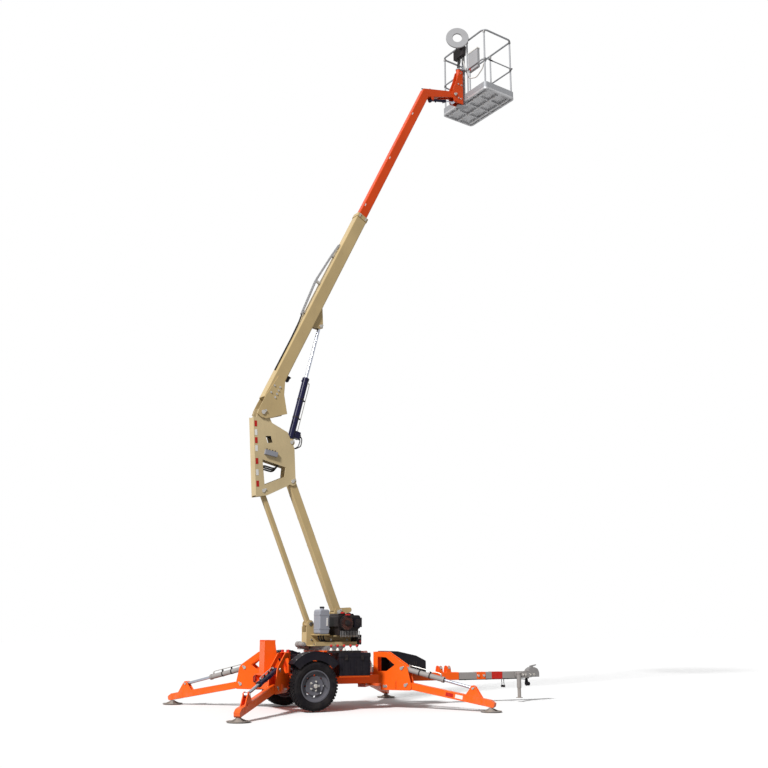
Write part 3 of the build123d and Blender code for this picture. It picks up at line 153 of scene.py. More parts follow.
# Camera, as fitted to the photo
EYE_PLACE = (-6.262, -13.319, 1.057)
EYE_RISE = 14.23
EYE_TURN = -25.46
FOCAL_PIXELS = 972.2
PHOTO_PIXELS = 768
SENSOR = 36
eye = bpy.data.objects.new("eye", bpy.data.cameras.new("eye"))
bpy.context.scene.collection.objects.link(eye)
eye.location = EYE_PLACE
eye.rotation_euler = (math.radians(90 + EYE_RISE), 0, math.radians(EYE_TURN))
eye.data.sensor_width = SENSOR
eye.data.lens = SENSOR * FOCAL_PIXELS / PHOTO_PIXELS
eye.data.clip_end = 200
bpy.context.scene.camera = eye


# Shader sums
class Value:
    """A socket that takes part in sums; each sign adds its Math node."""

    def __init__(self, paint, socket):
        self.paint = paint
        self.socket = socket

    def sum(self, operation, *others):
        return self.paint.node("ShaderNodeMath", {"operation": operation},
                               {i: v for i, v in enumerate(others)})

    def __add__(self, other):
        return self.sum("ADD", self, other)

    def __radd__(self, other):
        return self.sum("ADD", other, self)

    def __sub__(self, other):
        return self.sum("SUBTRACT", self, other)

    def __rsub__(self, other):
        return self.sum("SUBTRACT", other, self)

    def __mul__(self, other):
        return self.sum("MULTIPLY", self, other)

    def __truediv__(self, other):
        return self.sum("DIVIDE", self, other)

    def __gt__(self, other):
        return self.sum("GREATER_THAN", self, other)

    def clamped(self):
        return self.paint.node("ShaderNodeClamp", {}, {"Value": self})

    def other(self, name):
        """Another output of the same node."""
        return Value(self.paint, self.socket.node.outputs[name])


class Tree:
    """A node tree that is written one node at a time."""

    def __init__(self, tree):
        self.tree = tree

    def node(self, kind, settings=None, sockets=None, out=0):
        """Adds a node: its settings first, then the values or links of its sockets."""
        made = self.tree.nodes.new(kind)
        for key, value in (settings or {}).items():
            if key == "stops":
                ramp = made.color_ramp
                while len(ramp.elements) < len(value):
                    ramp.elements.new(1)
                for element, (place, colour) in zip(ramp.elements, value):
                    element.position = place
                    element.color = (*colour, 1)
            else:
                setattr(made, key, value)
        for key, value in (sockets or {}).items():
            socket = made.inputs[key]
            if isinstance(value, Value):
                self.tree.links.new(value.socket, socket)
            else:
                socket.default_value = value
        return Value(self, made.outputs[out])

    def vector(self, x=0.0, y=0.0, z=0.0):
        return self.node("ShaderNodeCombineXYZ", {}, {0: x, 1: y, 2: z})


class Paint(Tree):
    """One material, with a Principled shader at its end."""

    def __init__(self, name, **constants):
        self.material = bpy.data.materials.new(name)
        self.material.use_nodes = True
        super().__init__(self.material.node_tree)
        self.tree.nodes.clear()
        self.shader = self.tree.nodes.new("ShaderNodeBsdfPrincipled")
        output = self.tree.nodes.new("ShaderNodeOutputMaterial")
        self.tree.links.new(self.shader.outputs[0], output.inputs[0])
        for key, value in constants.items():
            self.shader.inputs[key.replace("_", " ")].default_value = value
        self.place = self.node("ShaderNodeTexCoord", out="Object")

    def feed(self, name, value):
        self.tree.links.new(value.socket, self.shader.inputs[name])

    def noise(self, scale, detail=3.0, rough=0.55, stretch=None):
        place = self.place
        if stretch:
            place = self.node("ShaderNodeMapping", {}, {"Vector": place, "Scale": stretch})
        return self.node("ShaderNodeTexNoise", {}, {
            "Vector": place, "Scale": scale, "Detail": detail, "Roughness": rough})

    def cells(self, scale):
        return self.node("ShaderNodeTexVoronoi", {}, {"Vector": self.place, "Scale": scale})

    def ramp(self, value, *stops):
        """A grey ramp: each stop is a place and a level."""
        listed = [(place, (level, level, level)) for place, level in stops]
        return self.node("ShaderNodeValToRGB", {"stops": listed}, {"Fac": value})

    def mix(self, share, first, second):
        """A colour between two, each a tuple or a link."""
        sockets = {0: share}
        for index, colour in ((6, first), (7, second)):
            sockets[index] = (*colour, 1) if isinstance(colour, tuple) else colour
        return self.node("ShaderNodeMix", {"data_type": "RGBA"}, sockets, out=2)

    def part(self, axis):
        """One of the three parts of the place on the object."""
        return self.node("ShaderNodeSeparateXYZ", {}, {0: self.place}, out=axis)

    def edges(self, radius=0.003):
        """A normal that rounds the edges, and a mask of those edges."""
        soft = self.node("ShaderNodeBevel", {"samples": 4}, {"Radius": radius})
        flat = self.node("ShaderNodeNewGeometry", out="Normal")
        both = self.node("ShaderNodeVectorMath", {"operation": "DOT_PRODUCT"}, {0: soft, 1: flat},
                         out="Value")
        return soft, (1 - both) * 8.0

    def relief(self, height, strength, distance, normal):
        self.feed("Normal", self.node("ShaderNodeBump", {}, {
            "Height": height, "Strength": strength, "Distance": distance, "Normal": normal}))


MUD = (0.30, 0.23, 0.16)
DUST = (0.25, 0.22, 0.19)
CHIP_LEVEL = 0.62


def enamel(name, colour, worn, dusty=0.25, rough=0.34, low=0.0, streaks=0.0):
    """Sprayed enamel: slight fading, dust, worn edges and a faint orange-peel skin."""
    paint = Paint(name, Metallic=0.0, Coat_Roughness=0.2, IOR=1.5, Specular_IOR_Level=0.12)
    soft, edge = paint.edges()
    fade = paint.ramp(paint.noise(1.6, 4), (0.3, 0.0), (0.7, 1.0))
    grain = paint.noise(34, 5, 0.7)
    lighter = tuple(min(1.0, part * 1.08 + 0.002) for part in colour)
    darker = tuple(part * 0.88 for part in colour)
    body = paint.mix(fade, darker, lighter)
    film = paint.ramp(grain, (0.42, 0.0), (0.72, 1.0)) * dusty
    if streaks:
        run = paint.noise(9, 4, 0.6, (1, 1, 0.08))
        film = (film + paint.ramp(run, (0.5, 0.0), (0.75, 1.0)) * streaks).clamped()
    if low:
        height = paint.part(2)
        mud = ((low - height) / low).clamped() * paint.ramp(paint.noise(11, 6, 0.7), (0.35, 0.0), (0.65, 1.0))
        film = (film + mud * 0.55).clamped()
    body = paint.mix(film, body, MUD)
    worn_off = (edge + paint.noise(90, 4, 0.75) * 0.5) > CHIP_LEVEL
    chip = worn_off * paint.ramp(paint.noise(6, 2), (0.45, 0.0), (0.6, 1.0))
    paint.feed("Base Color", paint.mix(chip, body, worn))
    paint.feed("Roughness", (grain * 0.12 + rough - 0.06 + film * 0.4 + chip * 0.1).clamped())
    paint.feed("Coat Weight", ((1 - film * 1.4) * 0.03).clamped())
    skin = paint.noise(420, 2, 0.5) * 0.35 + grain * 0.25
    paint.relief(skin, 0.12, 0.0015, soft)
    return paint.material


def metal(name, colour, rough, brushed=None, stain=0.2, spots=(0.12, 0.10, 0.09), metallic=1.0):
    """Bare or plated metal: brushed or cast grain with a little staining."""
    paint = Paint(name, Metallic=metallic)
    soft, edge = paint.edges(0.002)
    grain = paint.noise(60, 6, 0.7, brushed) if brushed else paint.noise(150, 5, 0.7)
    dirt = paint.ramp(paint.noise(7, 6, 0.72), (0.48, 0.0), (0.78, 1.0)) * stain
    body = paint.mix(grain, tuple(part * 0.86 for part in colour),
                     tuple(min(1, part * 1.12) for part in colour))
    body = paint.mix((edge * 0.4).clamped(), body, tuple(min(1, part * 1.25) for part in colour))
    paint.feed("Base Color", paint.mix(dirt, body, spots))
    paint.feed("Roughness", (rough - 0.08 + grain * 0.16 + dirt * 0.5).clamped())
    paint.relief(grain, 0.10, 0.001, soft)
    return paint.material


def moulded(name, colour, rough=0.52, dusty=0.3, pebble=260, coat=0.0):
    """Moulded plastic or rubber: a pebbled skin that holds dust."""
    paint = Paint(name, Metallic=0.0, Coat_Weight=coat, IOR=1.48, Specular_IOR_Level=0.12)
    soft, edge = paint.edges(0.003)
    skin = paint.cells(pebble)
    film = paint.ramp(paint.noise(8, 7, 0.7), (0.4, 0.0), (0.75, 1.0)) * dusty
    body = paint.mix((edge * 0.35).clamped(), colour, tuple(part * 1.8 + 0.02 for part in colour))
    paint.feed("Base Color", paint.mix(film, body, DUST))
    paint.feed("Roughness", (rough + film * 0.3 + skin * 0.1).clamped())
    paint.relief(skin, 0.16, 0.0012, soft)
    return paint.material


ORANGE = (0.95, 0.115, 0.006)
TAN = (0.55, 0.41, 0.205)
PALE_TAN = (0.62, 0.49, 0.28)
FINISH = {
    "orange": enamel("orange enamel", ORANGE, (0.22, 0.10, 0.06), 0.05, low=0.3),
    "orange high": enamel("orange enamel of the fly", (0.68, 0.064, 0.006), (0.22, 0.10, 0.06), 0.03),
    "tan": enamel("cream-tan enamel", TAN, (0.20, 0.14, 0.08), 0.10, streaks=0.12),
    "pale tan": enamel("cream enamel of the upright", PALE_TAN, (0.20, 0.14, 0.08), 0.08, streaks=0.10),
    "navy": enamel("dark blue enamel", (0.006, 0.006, 0.040), (0.12, 0.12, 0.14), 0.04, rough=0.26),
    "grey": enamel("grey enamel", (0.30, 0.28, 0.27), (0.24, 0.20, 0.17), 0.10, low=0.3),
    "dark": enamel("black enamel", (0.012, 0.009, 0.011), (0.12, 0.09, 0.08), 0.08, rough=0.38),
    "red": enamel("red enamel", (0.50, 0.014, 0.010), (0.20, 0.10, 0.08), 0.12),
    "white": enamel("white enamel", (0.80, 0.78, 0.74), (0.24, 0.20, 0.17), 0.12),
    "tank": enamel("blue-grey tank enamel", (0.29, 0.30, 0.34), (0.20, 0.18, 0.17), 0.12, rough=0.36),
    "rim": enamel("silver wheel paint", (0.105, 0.105, 0.125), (0.25, 0.20, 0.17), 0.10, rough=0.36),
    "rusty": enamel("heat-browned steel", (0.13, 0.038, 0.030), (0.20, 0.10, 0.07), 0.20, rough=0.55),
    "cast": metal("cast and zinc-plated steel", (0.25, 0.24, 0.235), 0.5, stain=0.35, metallic=0.5),
    "alloy": metal("satin aluminium tube", (0.33, 0.335, 0.35), 0.55, stain=0.10, spots=(0.20, 0.20, 0.20),
                   metallic=0.2),
    "deck": metal("aluminium deck sheet", (0.50, 0.50, 0.51), 0.55, (0.2, 1, 1), stain=0.5,
                  spots=(0.10, 0.10, 0.10), metallic=0.5),
    "zinc": metal("zinc-plated fasteners", (0.45, 0.43, 0.40), 0.38, stain=0.3),
    "chrome": metal("hard chrome rod", (0.42, 0.44, 0.50), 0.2, (1, 1, 0.04), stain=0.05),
    "rubber": moulded("tyre rubber", (0.008, 0.007, 0.009), 0.78, 0.08, 180),
    "plastic": moulded("black moulded plastic", (0.007, 0.006, 0.010), 0.5, 0.05),
    "hose": moulded("black hydraulic hose", (0.014, 0.014, 0.015), 0.55, 0.15, 900),
    "grey plastic": moulded("grey moulded plastic", (0.40, 0.40, 0.41), 0.5, 0.14),
    "knob": moulded("red moulded knob", (0.52, 0.012, 0.010), 0.3, 0.05, 700, 0.4),
    "lens": moulded("red lamp lens", (0.42, 0.008, 0.006), 0.12, 0.05, 90, 0.8),
}

CAD_FINISH = {
    "orange": ["chassis_frame", "axle", "boom_rest", "tongue_sleeve",
               *(f"outrigger_beam_{n}" for n in CORNERS)],
    "orange high": ["fly_boom", "gooseneck", "platform_bracket"],
    "tan": ["lower_boom", "link", "upper_boom", "turntable"],
    "pale tan": ["upright"],
    # The near rear outrigger barrel is given dark blue enamel as painted shade; the other three outrigger
    # barrels, alike on the machine, are grey enamel.
    "navy": ["lift_barrel", "lower_barrel", "slave_barrel", "outrigger_barrel_rear_right"],
    "grey": ["tongue_bar", "tongue_jack", "slew_motor", *(f"foot_pad_{n}" for n in CORNERS),
             *(f"outrigger_barrel_{n}" for n in CORNERS if n != "rear_right")],
    "tank": ["oil_tank"],
    "dark": ["power_unit", "ground_controls", "outrigger_valves", "platform_console"],
    "rim": ["rim_left", "rim_right"],
    "cast": ["coupler", "slew_ring"],
    "alloy": ["platform_cage", "entry_bar"],
    "deck": ["platform_floor"],
    "chrome": ["lift_rod", "lower_rod", "slave_rod", *(f"outrigger_rod_{n}" for n in CORNERS)],
    "rubber": ["tyre_left", "tyre_right"],
    "plastic": ["fenders", "battery_boxes", "tongue_hood", "lighting_socket"],
    "grey plastic": ["cable_carrier", "console_guard"],
    "lens": ["tail_lamps"],
}
for finish, names in CAD_FINISH.items():
    for name in names:
        nodes[name].data.materials.clear()
        nodes[name].data.materials.append(FINISH[finish])


# Making pieces
def placed(name, mesh, body, finish, smooth=30.0):
    """Puts a finished mesh on its body, in its finish."""
    thing = bpy.data.objects.new(name, mesh)
    bpy.context.scene.collection.objects.link(thing)
    mesh.materials.clear()
    mesh.materials.append(FINISH[finish])
    if smooth:
        mesh.polygons.foreach_set("use_smooth", [True] * len(mesh.polygons))
        mesh.set_sharp_from_angle(angle=math.radians(smooth))
    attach(thing, body)
    return thing


def from_bmesh(name, shape, body, finish, smooth=30.0, bevel=0.0):
    """A piece from a bmesh, with its edges rounded where a bevel is given."""
    if bevel:
        sharp = [e for e in shape.edges if len(e.link_faces) == 2 and e.calc_face_angle(0) > 0.6]
        bmesh.ops.bevel(shape, geom=sharp, offset=bevel, segments=2, affect="EDGES", clamp_overlap=True)
    bmesh.ops.recalc_face_normals(shape, faces=shape.faces)
    mesh = bpy.data.meshes.new(name)
    shape.to_mesh(mesh)
    shape.free()
    return placed(name, mesh, body, finish, smooth)


def add_plate(shape, place, outline, start, end):
    """Adds a flat outline carried from start to end along a place's z."""
    low = [shape.verts.new(place @ Vector((x, y, start))) for x, y in outline]
    high = [shape.verts.new(place @ Vector((x, y, end))) for x, y in outline]
    shape.faces.new(low[::-1])
    shape.faces.new(high)
    count = len(outline)
    for i in range(count):
        j = (i + 1) % count
        shape.faces.new((low[i], low[j], high[j], high[i]))


def add_box(shape, place, size, centre=(0, 0, 0)):
    """Adds a box about a centre."""
    x, y, z = (part / 2 for part in size)
    cx, cy, cz = centre
    add_plate(shape, place, [(cx - x, cy - y), (cx + x, cy - y), (cx + x, cy + y), (cx - x, cy + y)], cz - z,
              cz + z)


def add_turned(shape, place, profile, steps=32):
    """Adds a shape turned about a place's z from points of radius and height."""
    rings = []
    for radius, height in profile:
        turns = around(steps) if radius else [0.0]
        rings.append([shape.verts.new(place @ Vector((radius * math.cos(turn), radius * math.sin(turn),
                                                      height)))
                      for turn in turns])
    for first, second in zip(rings, rings[1:]):
        for i in range(steps):
            j = (i + 1) % steps
            corners = [first[i % len(first)], first[j % len(first)], second[j % len(second)],
                       second[i % len(second)]]
            unique = list(dict.fromkeys(corners))
            if len(unique) > 2:
                shape.faces.new(unique)


def turned(name, place, profile, body, finish, steps=32, smooth=35.0):
    shape = bmesh.new()
    add_turned(shape, place, profile, steps)
    return from_bmesh(name, shape, body, finish, smooth)


def turnings(name, places, profile, body, finish, steps=32, smooth=30.0):
    """One piece of like turned shapes."""
    shape = bmesh.new()
    for place in places:
        add_turned(shape, place, profile, steps)
    return from_bmesh(name, shape, body, finish, smooth)


def boxes(name, items, body, finish, bevel=0.0):
    """One piece of boxes, each a place and a size, and a centre where it needs one."""
    shape = bmesh.new()
    for item in items:
        add_box(shape, *item)
    return from_bmesh(name, shape, body, finish, bevel=bevel)


# Geometry node trees
class Growth(Tree):
    """A geometry node tree with named inputs."""

    def __init__(self, name, **inputs):
        tree = bpy.data.node_groups.new(name, "GeometryNodeTree")
        super().__init__(tree)
        tree.interface.new_socket("Geometry", in_out="OUTPUT", socket_type="NodeSocketGeometry")
        tree.interface.new_socket("Geometry", in_out="INPUT", socket_type="NodeSocketGeometry")
        for key, value in inputs.items():
            kind = {float: "NodeSocketFloat", int: "NodeSocketInt", str: "NodeSocketMaterial"}[type(value)]
            socket = tree.interface.new_socket(key.replace("_", " "), in_out="INPUT", socket_type=kind)
            if kind != "NodeSocketMaterial":
                socket.default_value = value
        self.start = tree.nodes.new("NodeGroupInput")
        self.end = tree.nodes.new("NodeGroupOutput")
        self.geometry = Value(self, self.start.outputs["Geometry"])

    def input(self, name):
        return Value(self, self.start.outputs[name])

    def cube(self, x, y, z):
        return self.node("GeometryNodeMeshCube", {}, {"Size": self.vector(x, y, z)})

    def ring(self, steps, radius):
        return self.node("GeometryNodeCurvePrimitiveCircle", {}, {"Resolution": steps, "Radius": radius})

    def bent(self, radius, count):
        """The source's edges as a curve, with its corners rounded."""
        run = self.node("GeometryNodeMeshToCurve", {}, {0: self.geometry})
        return self.node("GeometryNodeFilletCurve", {"mode": "POLY"}, {
            "Curve": run, "Radius": radius, "Limit Radius": True, "Count": count})

    def even(self, curve, pitch):
        """Points at an even pitch along a curve."""
        return self.node("GeometryNodeCurveToPoints", {"mode": "LENGTH"}, {"Curve": curve, "Length": pitch})

    def swept(self, curve, profile, caps):
        return self.node("GeometryNodeCurveToMesh", {},
                         {"Curve": curve, "Profile Curve": profile, "Fill Caps": caps})

    def moved(self, geometry, **changes):
        return self.node("GeometryNodeTransform", {}, {"Geometry": geometry, **changes})

    def joined(self, parts):
        join = self.tree.nodes.new("GeometryNodeJoinGeometry")
        for part in parts:
            self.tree.links.new(part.socket, join.inputs[0])
        return Value(self, join.outputs[0])

    def spread(self, points, instance, **changes):
        """A copy of the instance at each point."""
        return self.node("GeometryNodeInstanceOnPoints", {},
                         {"Points": points, "Instance": instance, **changes})

    def finish(self, geometry):
        solid = self.node("GeometryNodeRealizeInstances", {}, {0: geometry})
        painted = self.node("GeometryNodeSetMaterial", {},
                            {"Geometry": solid, "Material": self.input("Finish")})
        self.tree.links.new(painted.socket, self.end.inputs[0])


def grow(name, growth, source, body, finish, smooth=35.0, **values):
    """Runs a tree on a source mesh and keeps the result as a plain piece."""
    seed = bpy.data.objects.new(name + "_seed", source)
    bpy.context.scene.collection.objects.link(seed)
    modifier = seed.modifiers.new("growth", "NODES")
    modifier.node_group = growth.tree
    values["Finish"] = FINISH[finish]
    for item in growth.tree.interface.items_tree:
        key = item.name.replace(" ", "_")
        if item.in_out == "INPUT" and key in values:
            modifier[item.identifier] = values[key]
    bpy.context.view_layer.update()
    result = bpy.data.meshes.new_from_object(seed.evaluated_get(bpy.context.evaluated_depsgraph_get()))
    bpy.data.objects.remove(seed)
    return placed(name, result, body, finish, smooth)


def moved(piece, place):
    """Carries a piece's mesh to a place."""
    piece.data.transform(place)
    piece.data.update()
    return piece


def marked(places):
    """A mesh of loose points, each with the direction it faces."""
    mesh = bpy.data.meshes.new("points")
    mesh.from_pydata([place.translation for place in places], [], [])
    facing = mesh.attributes.new("facing", "FLOAT_VECTOR", "POINT")
    facing.data.foreach_set("vector", [part for place in places for part in place.col[2][:3]])
    return mesh


def traced(points):
    """A mesh of one run of edges."""
    mesh = bpy.data.meshes.new("run")
    mesh.from_pydata([Vector(point) for point in points], [(i, i + 1) for i in range(len(points) - 1)], [])
    return mesh


def make_bolt_tree():
    """Hexagon heads on washers, one at each point, facing as the point says."""
    tree = Growth("bolt heads", Across=0.02, Rise=0.01, Finish="")
    across, rise = tree.input("Across"), tree.input("Rise")
    parts = []
    for sides, wide, tall, middle in ((6, 0.577, 1.0, 0.72), (16, 0.82, 0.22, 0.11)):
        part = tree.node("GeometryNodeMeshCylinder", {}, {
            "Vertices": sides, "Radius": across * wide, "Depth": rise * tall})
        parts.append(tree.moved(part, Translation=tree.vector(z=rise * middle)))
    facing = tree.node("GeometryNodeInputNamedAttribute", {"data_type": "FLOAT_VECTOR"}, {"Name": "facing"})
    turn = tree.node("FunctionNodeAlignRotationToVector", {"axis": "Z"}, {"Vector": facing})
    tree.finish(tree.spread(tree.geometry, tree.joined(parts), Rotation=turn))
    return tree


def make_pipe_tree():
    """A round pipe along a run of edges, with its corners bent to a radius."""
    tree = Growth("bent pipe", Radius=0.01, Bend=0.05, Sides=12, Finish="")
    ring = tree.ring(tree.input("Sides"), tree.input("Radius"))
    tree.finish(tree.swept(tree.bent(tree.input("Bend"), 7), ring, True))
    return tree


def make_slat_tree():
    """Bars side by side along x, as in a vent or a rack of slats."""
    tree = Growth("slats", Count=8, Gap=0.02, Long=0.2, Thick=0.006, Deep=0.01, Finish="")
    bar = tree.cube(tree.input("Thick"), tree.input("Long"), tree.input("Deep"))
    step = tree.vector(tree.input("Gap"))
    line = tree.node("GeometryNodeMeshLine", {}, {"Count": tree.input("Count"), "Offset": step})
    tree.finish(tree.spread(line, bar))
    return tree


def make_tread_tree():
    """Tread blocks round a tyre, in rows that are out of step with each other."""
    tree = Growth("tread blocks", Tread_Radius=0.31, Blocks=TREAD_BLOCKS, Block_Height=0.01, Finish="")
    rows = []
    for across, step, size, lean in TREAD_ROWS:
        loop = tree.ring(tree.input("Blocks"), tree.input("Tread Radius"))
        points = tree.node("GeometryNodeCurveToPoints", {"mode": "EVALUATED"}, {"Curve": loop})
        block = tree.moved(tree.cube(tree.input("Block Height"), *size), Rotation=(lean, 0, 0))
        apart = tree.node("ShaderNodeSeparateXYZ", {}, {0: tree.node("GeometryNodeInputPosition")})
        turn = tree.node("ShaderNodeMath", {"operation": "ARCTAN2"}, {0: apart.other("Y"), 1: apart})
        solid = tree.node("GeometryNodeRealizeInstances", {}, {
            0: tree.spread(points, block, Rotation=tree.vector(z=turn))})
        turn_on = step * 2 * math.pi / TREAD_BLOCKS
        rows.append(tree.moved(solid, Translation=(0, 0, across), Rotation=(0, 0, turn_on)))
    tree.finish(tree.joined(rows))
    return tree


def make_link_tree():
    """Links of a cable carrier along a run, each with two cheeks and two bars."""
    tree = Growth("carrier links", Pitch=0.03, Width=0.046, Height=0.022, Finish="")
    pitch, width, height = (tree.input(name) for name in ("Pitch", "Width", "Height"))
    level = tree.node("GeometryNodeSetCurveNormal", {"mode": "Z_UP"}, {"Curve": tree.bent(0.9, 12)})
    points = tree.even(level, pitch)
    parts = []
    for sign in (1, -1):
        cheek = tree.cube(0.004, height, pitch * 1.12)
        parts.append(tree.moved(cheek, Translation=tree.vector(x=width * (0.46 * sign))))
        bar = tree.cube(width, 0.004, pitch * 0.5)
        parts.append(tree.moved(bar, Translation=tree.vector(y=height * (0.46 * sign))))
    tree.finish(tree.spread(points, tree.joined(parts), Rotation=points.other("Rotation")))
    return tree


def make_chain_tree():
    """Oval links along a run, each turned a quarter from the one before."""
    tree = Growth("chain links", Pitch=0.024, Wire=0.003, Finish="")
    points = tree.even(tree.bent(0.08, 8), tree.input("Pitch"))
    oval = tree.moved(tree.ring(14, tree.input("Pitch") * 0.48), Scale=(0.62, 1.32, 1.0))
    link = tree.moved(tree.swept(oval, tree.ring(6, tree.input("Wire")), False), Rotation=(math.pi / 2, 0, 0))
    odd = tree.node("ShaderNodeMath", {"operation": "MODULO"},
                    {0: tree.node("GeometryNodeInputIndex"), 1: 2.0})
    spun = tree.node("FunctionNodeRotateRotation", {"rotation_space": "LOCAL"}, {
        "Rotation": points.other("Rotation"), "Rotate By": tree.vector(z=odd * (math.pi / 2))})
    tree.finish(tree.spread(points, link, Rotation=spun))
    return tree


BOLTS = make_bolt_tree()
PIPE = make_pipe_tree()
SLATS = make_slat_tree()


def bolts(name, places, body, across=0.02, rise=0.009, finish="zinc"):
    return grow(name, BOLTS, marked(places), body, finish, Across=across, Rise=rise)


def pipe(name, points, body, finish, radius=0.01, bend=0.05, sides=12):
    return grow(name, PIPE, traced(points), body, finish, Radius=radius, Bend=bend, Sides=sides)


def slats(name, place, body, finish, count, gap, long, thick, deep):
    made = grow(name, SLATS, marked([Matrix()]), body, finish, smooth=0, Count=count, Gap=gap, Long=long,
                Thick=thick, Deep=deep)
    return moved(made, place)


# Wheels
TYRE_STEPS = 96
TYRE_PROFILE = [(0.075, 0.196), (0.074, 0.210), (0.089, 0.214), (0.097, 0.228), (0.101, 0.241),
                (0.1025, 0.250), (0.1000, 0.252), (0.1025, 0.256), (0.1025, 0.277), (0.0995, 0.279),
                (0.1015, 0.283), (0.098, 0.295), (0.091, 0.304), (0.080, 0.310), (0.060, 0.3125),
                (0.030, 0.313)]
TREAD_BLOCKS = 46
TREAD_ROWS = ((-0.076, 0.0, (0.028, 0.030), 0.0), (-0.038, 0.5, (0.026, 0.030), 0.3),
              (0.0, 0.0, (0.028, 0.030), -0.3), (0.038, 0.5, (0.026, 0.030), 0.3),
              (0.076, 0.0, (0.028, 0.030), 0.0))


def make_wheels():
    treads = make_tread_tree()
    section = TYRE_PROFILE + [(-x, y) for x, y in reversed(TYRE_PROFILE)]
    count = len(section)
    for side, name in SIDES:
        middle = axes((AXLE[0], side * TRACK / 2, AXLE[1]), (-side, 0, 0), (0, side, 0))
        body = f"wheel_{name}"
        carcass = bmesh.new()
        loops = [[carcass.verts.new(middle @ Vector((r * math.cos(turn), r * math.sin(turn), x)))
                  for x, r in section]
                 for turn in around(TYRE_STEPS)]
        for here, there in zip(loops, loops[1:] + loops[:1]):
            for j in range(count):
                k = (j + 1) % count
                carcass.faces.new((here[j], here[k], there[k], there[j]))
        tyre = from_bmesh(f"tyre_carcass_{name}", carcass, body, "rubber", 40)
        blocks = grow(f"tyre_tread_{name}", treads, marked([middle]), body, "rubber", smooth=0,
                      Tread_Radius=0.3120, Blocks=TREAD_BLOCKS, Block_Height=0.018)
        moved(blocks, middle)
        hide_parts(f"tyre_{name}")
        nuts = [middle @ Matrix.Translation((0.057 * math.cos(a), 0.057 * math.sin(a), 0.041))
                for a in around(5)]
        bolts(f"wheel_nuts_{name}", nuts, body, 0.021, 0.016)
        turned(f"hub_cap_{name}", middle @ Matrix.Translation((0, 0, 0.074)),
               [(0, 0), (0.030, 0), (0.031, 0.006), (0.028, 0.016), (0.020, 0.021), (0.006, 0.022),
                (0, 0.022)],
               body, "zinc")
        stem = [middle @ Vector((r, 0, z)) for r, z in ((0.148, 0.030), (0.150, 0.060), (0.146, 0.078))]
        pipe(f"wheel_valve_{name}", stem, body, "hose", 0.005, 0.01, 8)


make_wheels()


# Bolts round the turntable and on the outriggers' brackets
def make_chassis_bolts():
    for name, body, radius, height, shift, across, rise in (
            ("turntable_bolts", "turntable", 0.245, TABLE_Z + 0.014, 0.0, 0.018, 0.010),
            ("ring_bolts", "chassis", 0.290, RING_Z, 0.5, 0.014, 0.009)):
        places = [axes((SLEW_X + radius * math.cos(turn), radius * math.sin(turn), height), (1, 0, 0),
                       (0, 0, 1))
                  for turn in around(24, shift)]
        bolts(name, places, body, across, rise)
    for name in CORNERS:
        places = [outward(leg(name, out, up, 0, side), side)
                  for out, up in ((-0.440, 0.385), (-0.440, 0.430), (-0.330, 0.300), (-0.300, 0.300))
                  for side in (0.057, -0.057)]
        bolts(f"bracket_bolts_{name}", places, "chassis", 0.024, 0.012)


make_chassis_bolts()


# Cylinders and pins
def add_fitting(shape, place, size=0.011):
    """A hydraulic fitting: two hexagons and a sleeve."""
    add_turned(shape, place, [(0, 0), (size, 0), (size, size * 0.8), (0, size * 0.8)], 6)
    add_turned(shape, place, [(0, size * 0.8), (size * 0.72, size * 0.8), (size * 0.72, size * 1.9),
                              (0, size * 1.9)], 12)


def dress_cylinder(make, foot, tip, body, radius, barrel, name, up=1.0):
    """Ports, a steel feed pipe with clamps, and the gland's lock ring of a hydraulic cylinder."""
    angle = between(foot, tip)[1]
    low_port, high_port = 0.094, barrel - 0.060
    pipe_high = radius + 0.026

    def spot(along, high, out=0.0, turn=0.0):
        return on(make, foot, angle, along, high * up, out, turn)

    shape = bmesh.new()
    for along in (low_port, high_port):
        add_fitting(shape, faced(spot(along, radius + 0.012, 0, 90 * up), 2, 0))
    from_bmesh(f"{name}_fittings", shape, body, "zinc")
    turnings(f"{name}_gland", [faced(spot(barrel, 0), 2, 0)],
             [(0, -0.001), (radius - 0.004, -0.001), (radius - 0.006, 0.008), (0, 0.008)], body, "dark")
    run = [spot(high_port, pipe_high), spot(barrel - 0.085, pipe_high + 0.008),
           spot(0.130, pipe_high + 0.004, 0.012), spot(low_port, pipe_high)]
    pipe(f"{name}_feed", [place.translation for place in run], body, "zinc", 0.006, 0.03, 8)
    shape = bmesh.new()
    for share in (0.35, 0.68):
        along = low_port + (barrel - 0.16) * share
        add_turned(shape, faced(spot(along, 0), 2, 0),
                   [(radius - 0.001, -0.009), (radius + 0.003, -0.009), (radius + 0.003, 0.009),
                    (radius - 0.001, 0.009), (radius - 0.001, -0.009)], 32)
        add_box(shape, spot(along, radius + 0.012), (0.018, 0.026, 0.020))
    from_bmesh(f"{name}_clamps", shape, body, "dark")


def pin_ends(name, make, spots, body, radius, out):
    """Keeper plates and bolts on both ends of pins."""
    plates, heads = bmesh.new(), []
    outline = [(math.cos(a) * radius * 1.25, math.sin(a) * radius * 1.25)
               for a in (math.radians(40 + 14 * k) for k in range(21))]
    outline += [(radius * 2.5, -radius * 0.55), (radius * 2.5, radius * 0.55)]
    for spot in spots:
        for sign in (1, -1):
            face = outward(make(spot, 35, sign * out), sign)
            add_plate(plates, face, outline, 0, 0.004)
            heads.append(face @ Matrix.Translation((radius * 1.95, 0, 0.004)))
    from_bmesh(f"{name}_keepers", plates, body, "zinc")
    bolts(f"{name}_keeper_bolts", heads, body, radius * 0.62, radius * 0.3)


# Outriggers
LEG_REACH = math.hypot(PAD_REACH[0] - LEG_PIVOT[0], PAD_REACH[1] - LEG_PIVOT[1])
LEG_ANGLE = math.degrees(math.atan2(LEG_END_Z - LEG_PIVOT[2], LEG_REACH))
LEG_FOOT = (0, LEG_PIVOT[2])
LEG_JACK_FOOT = (-0.060, 0.545)
LEG_LUG = (0.990, 0.300)


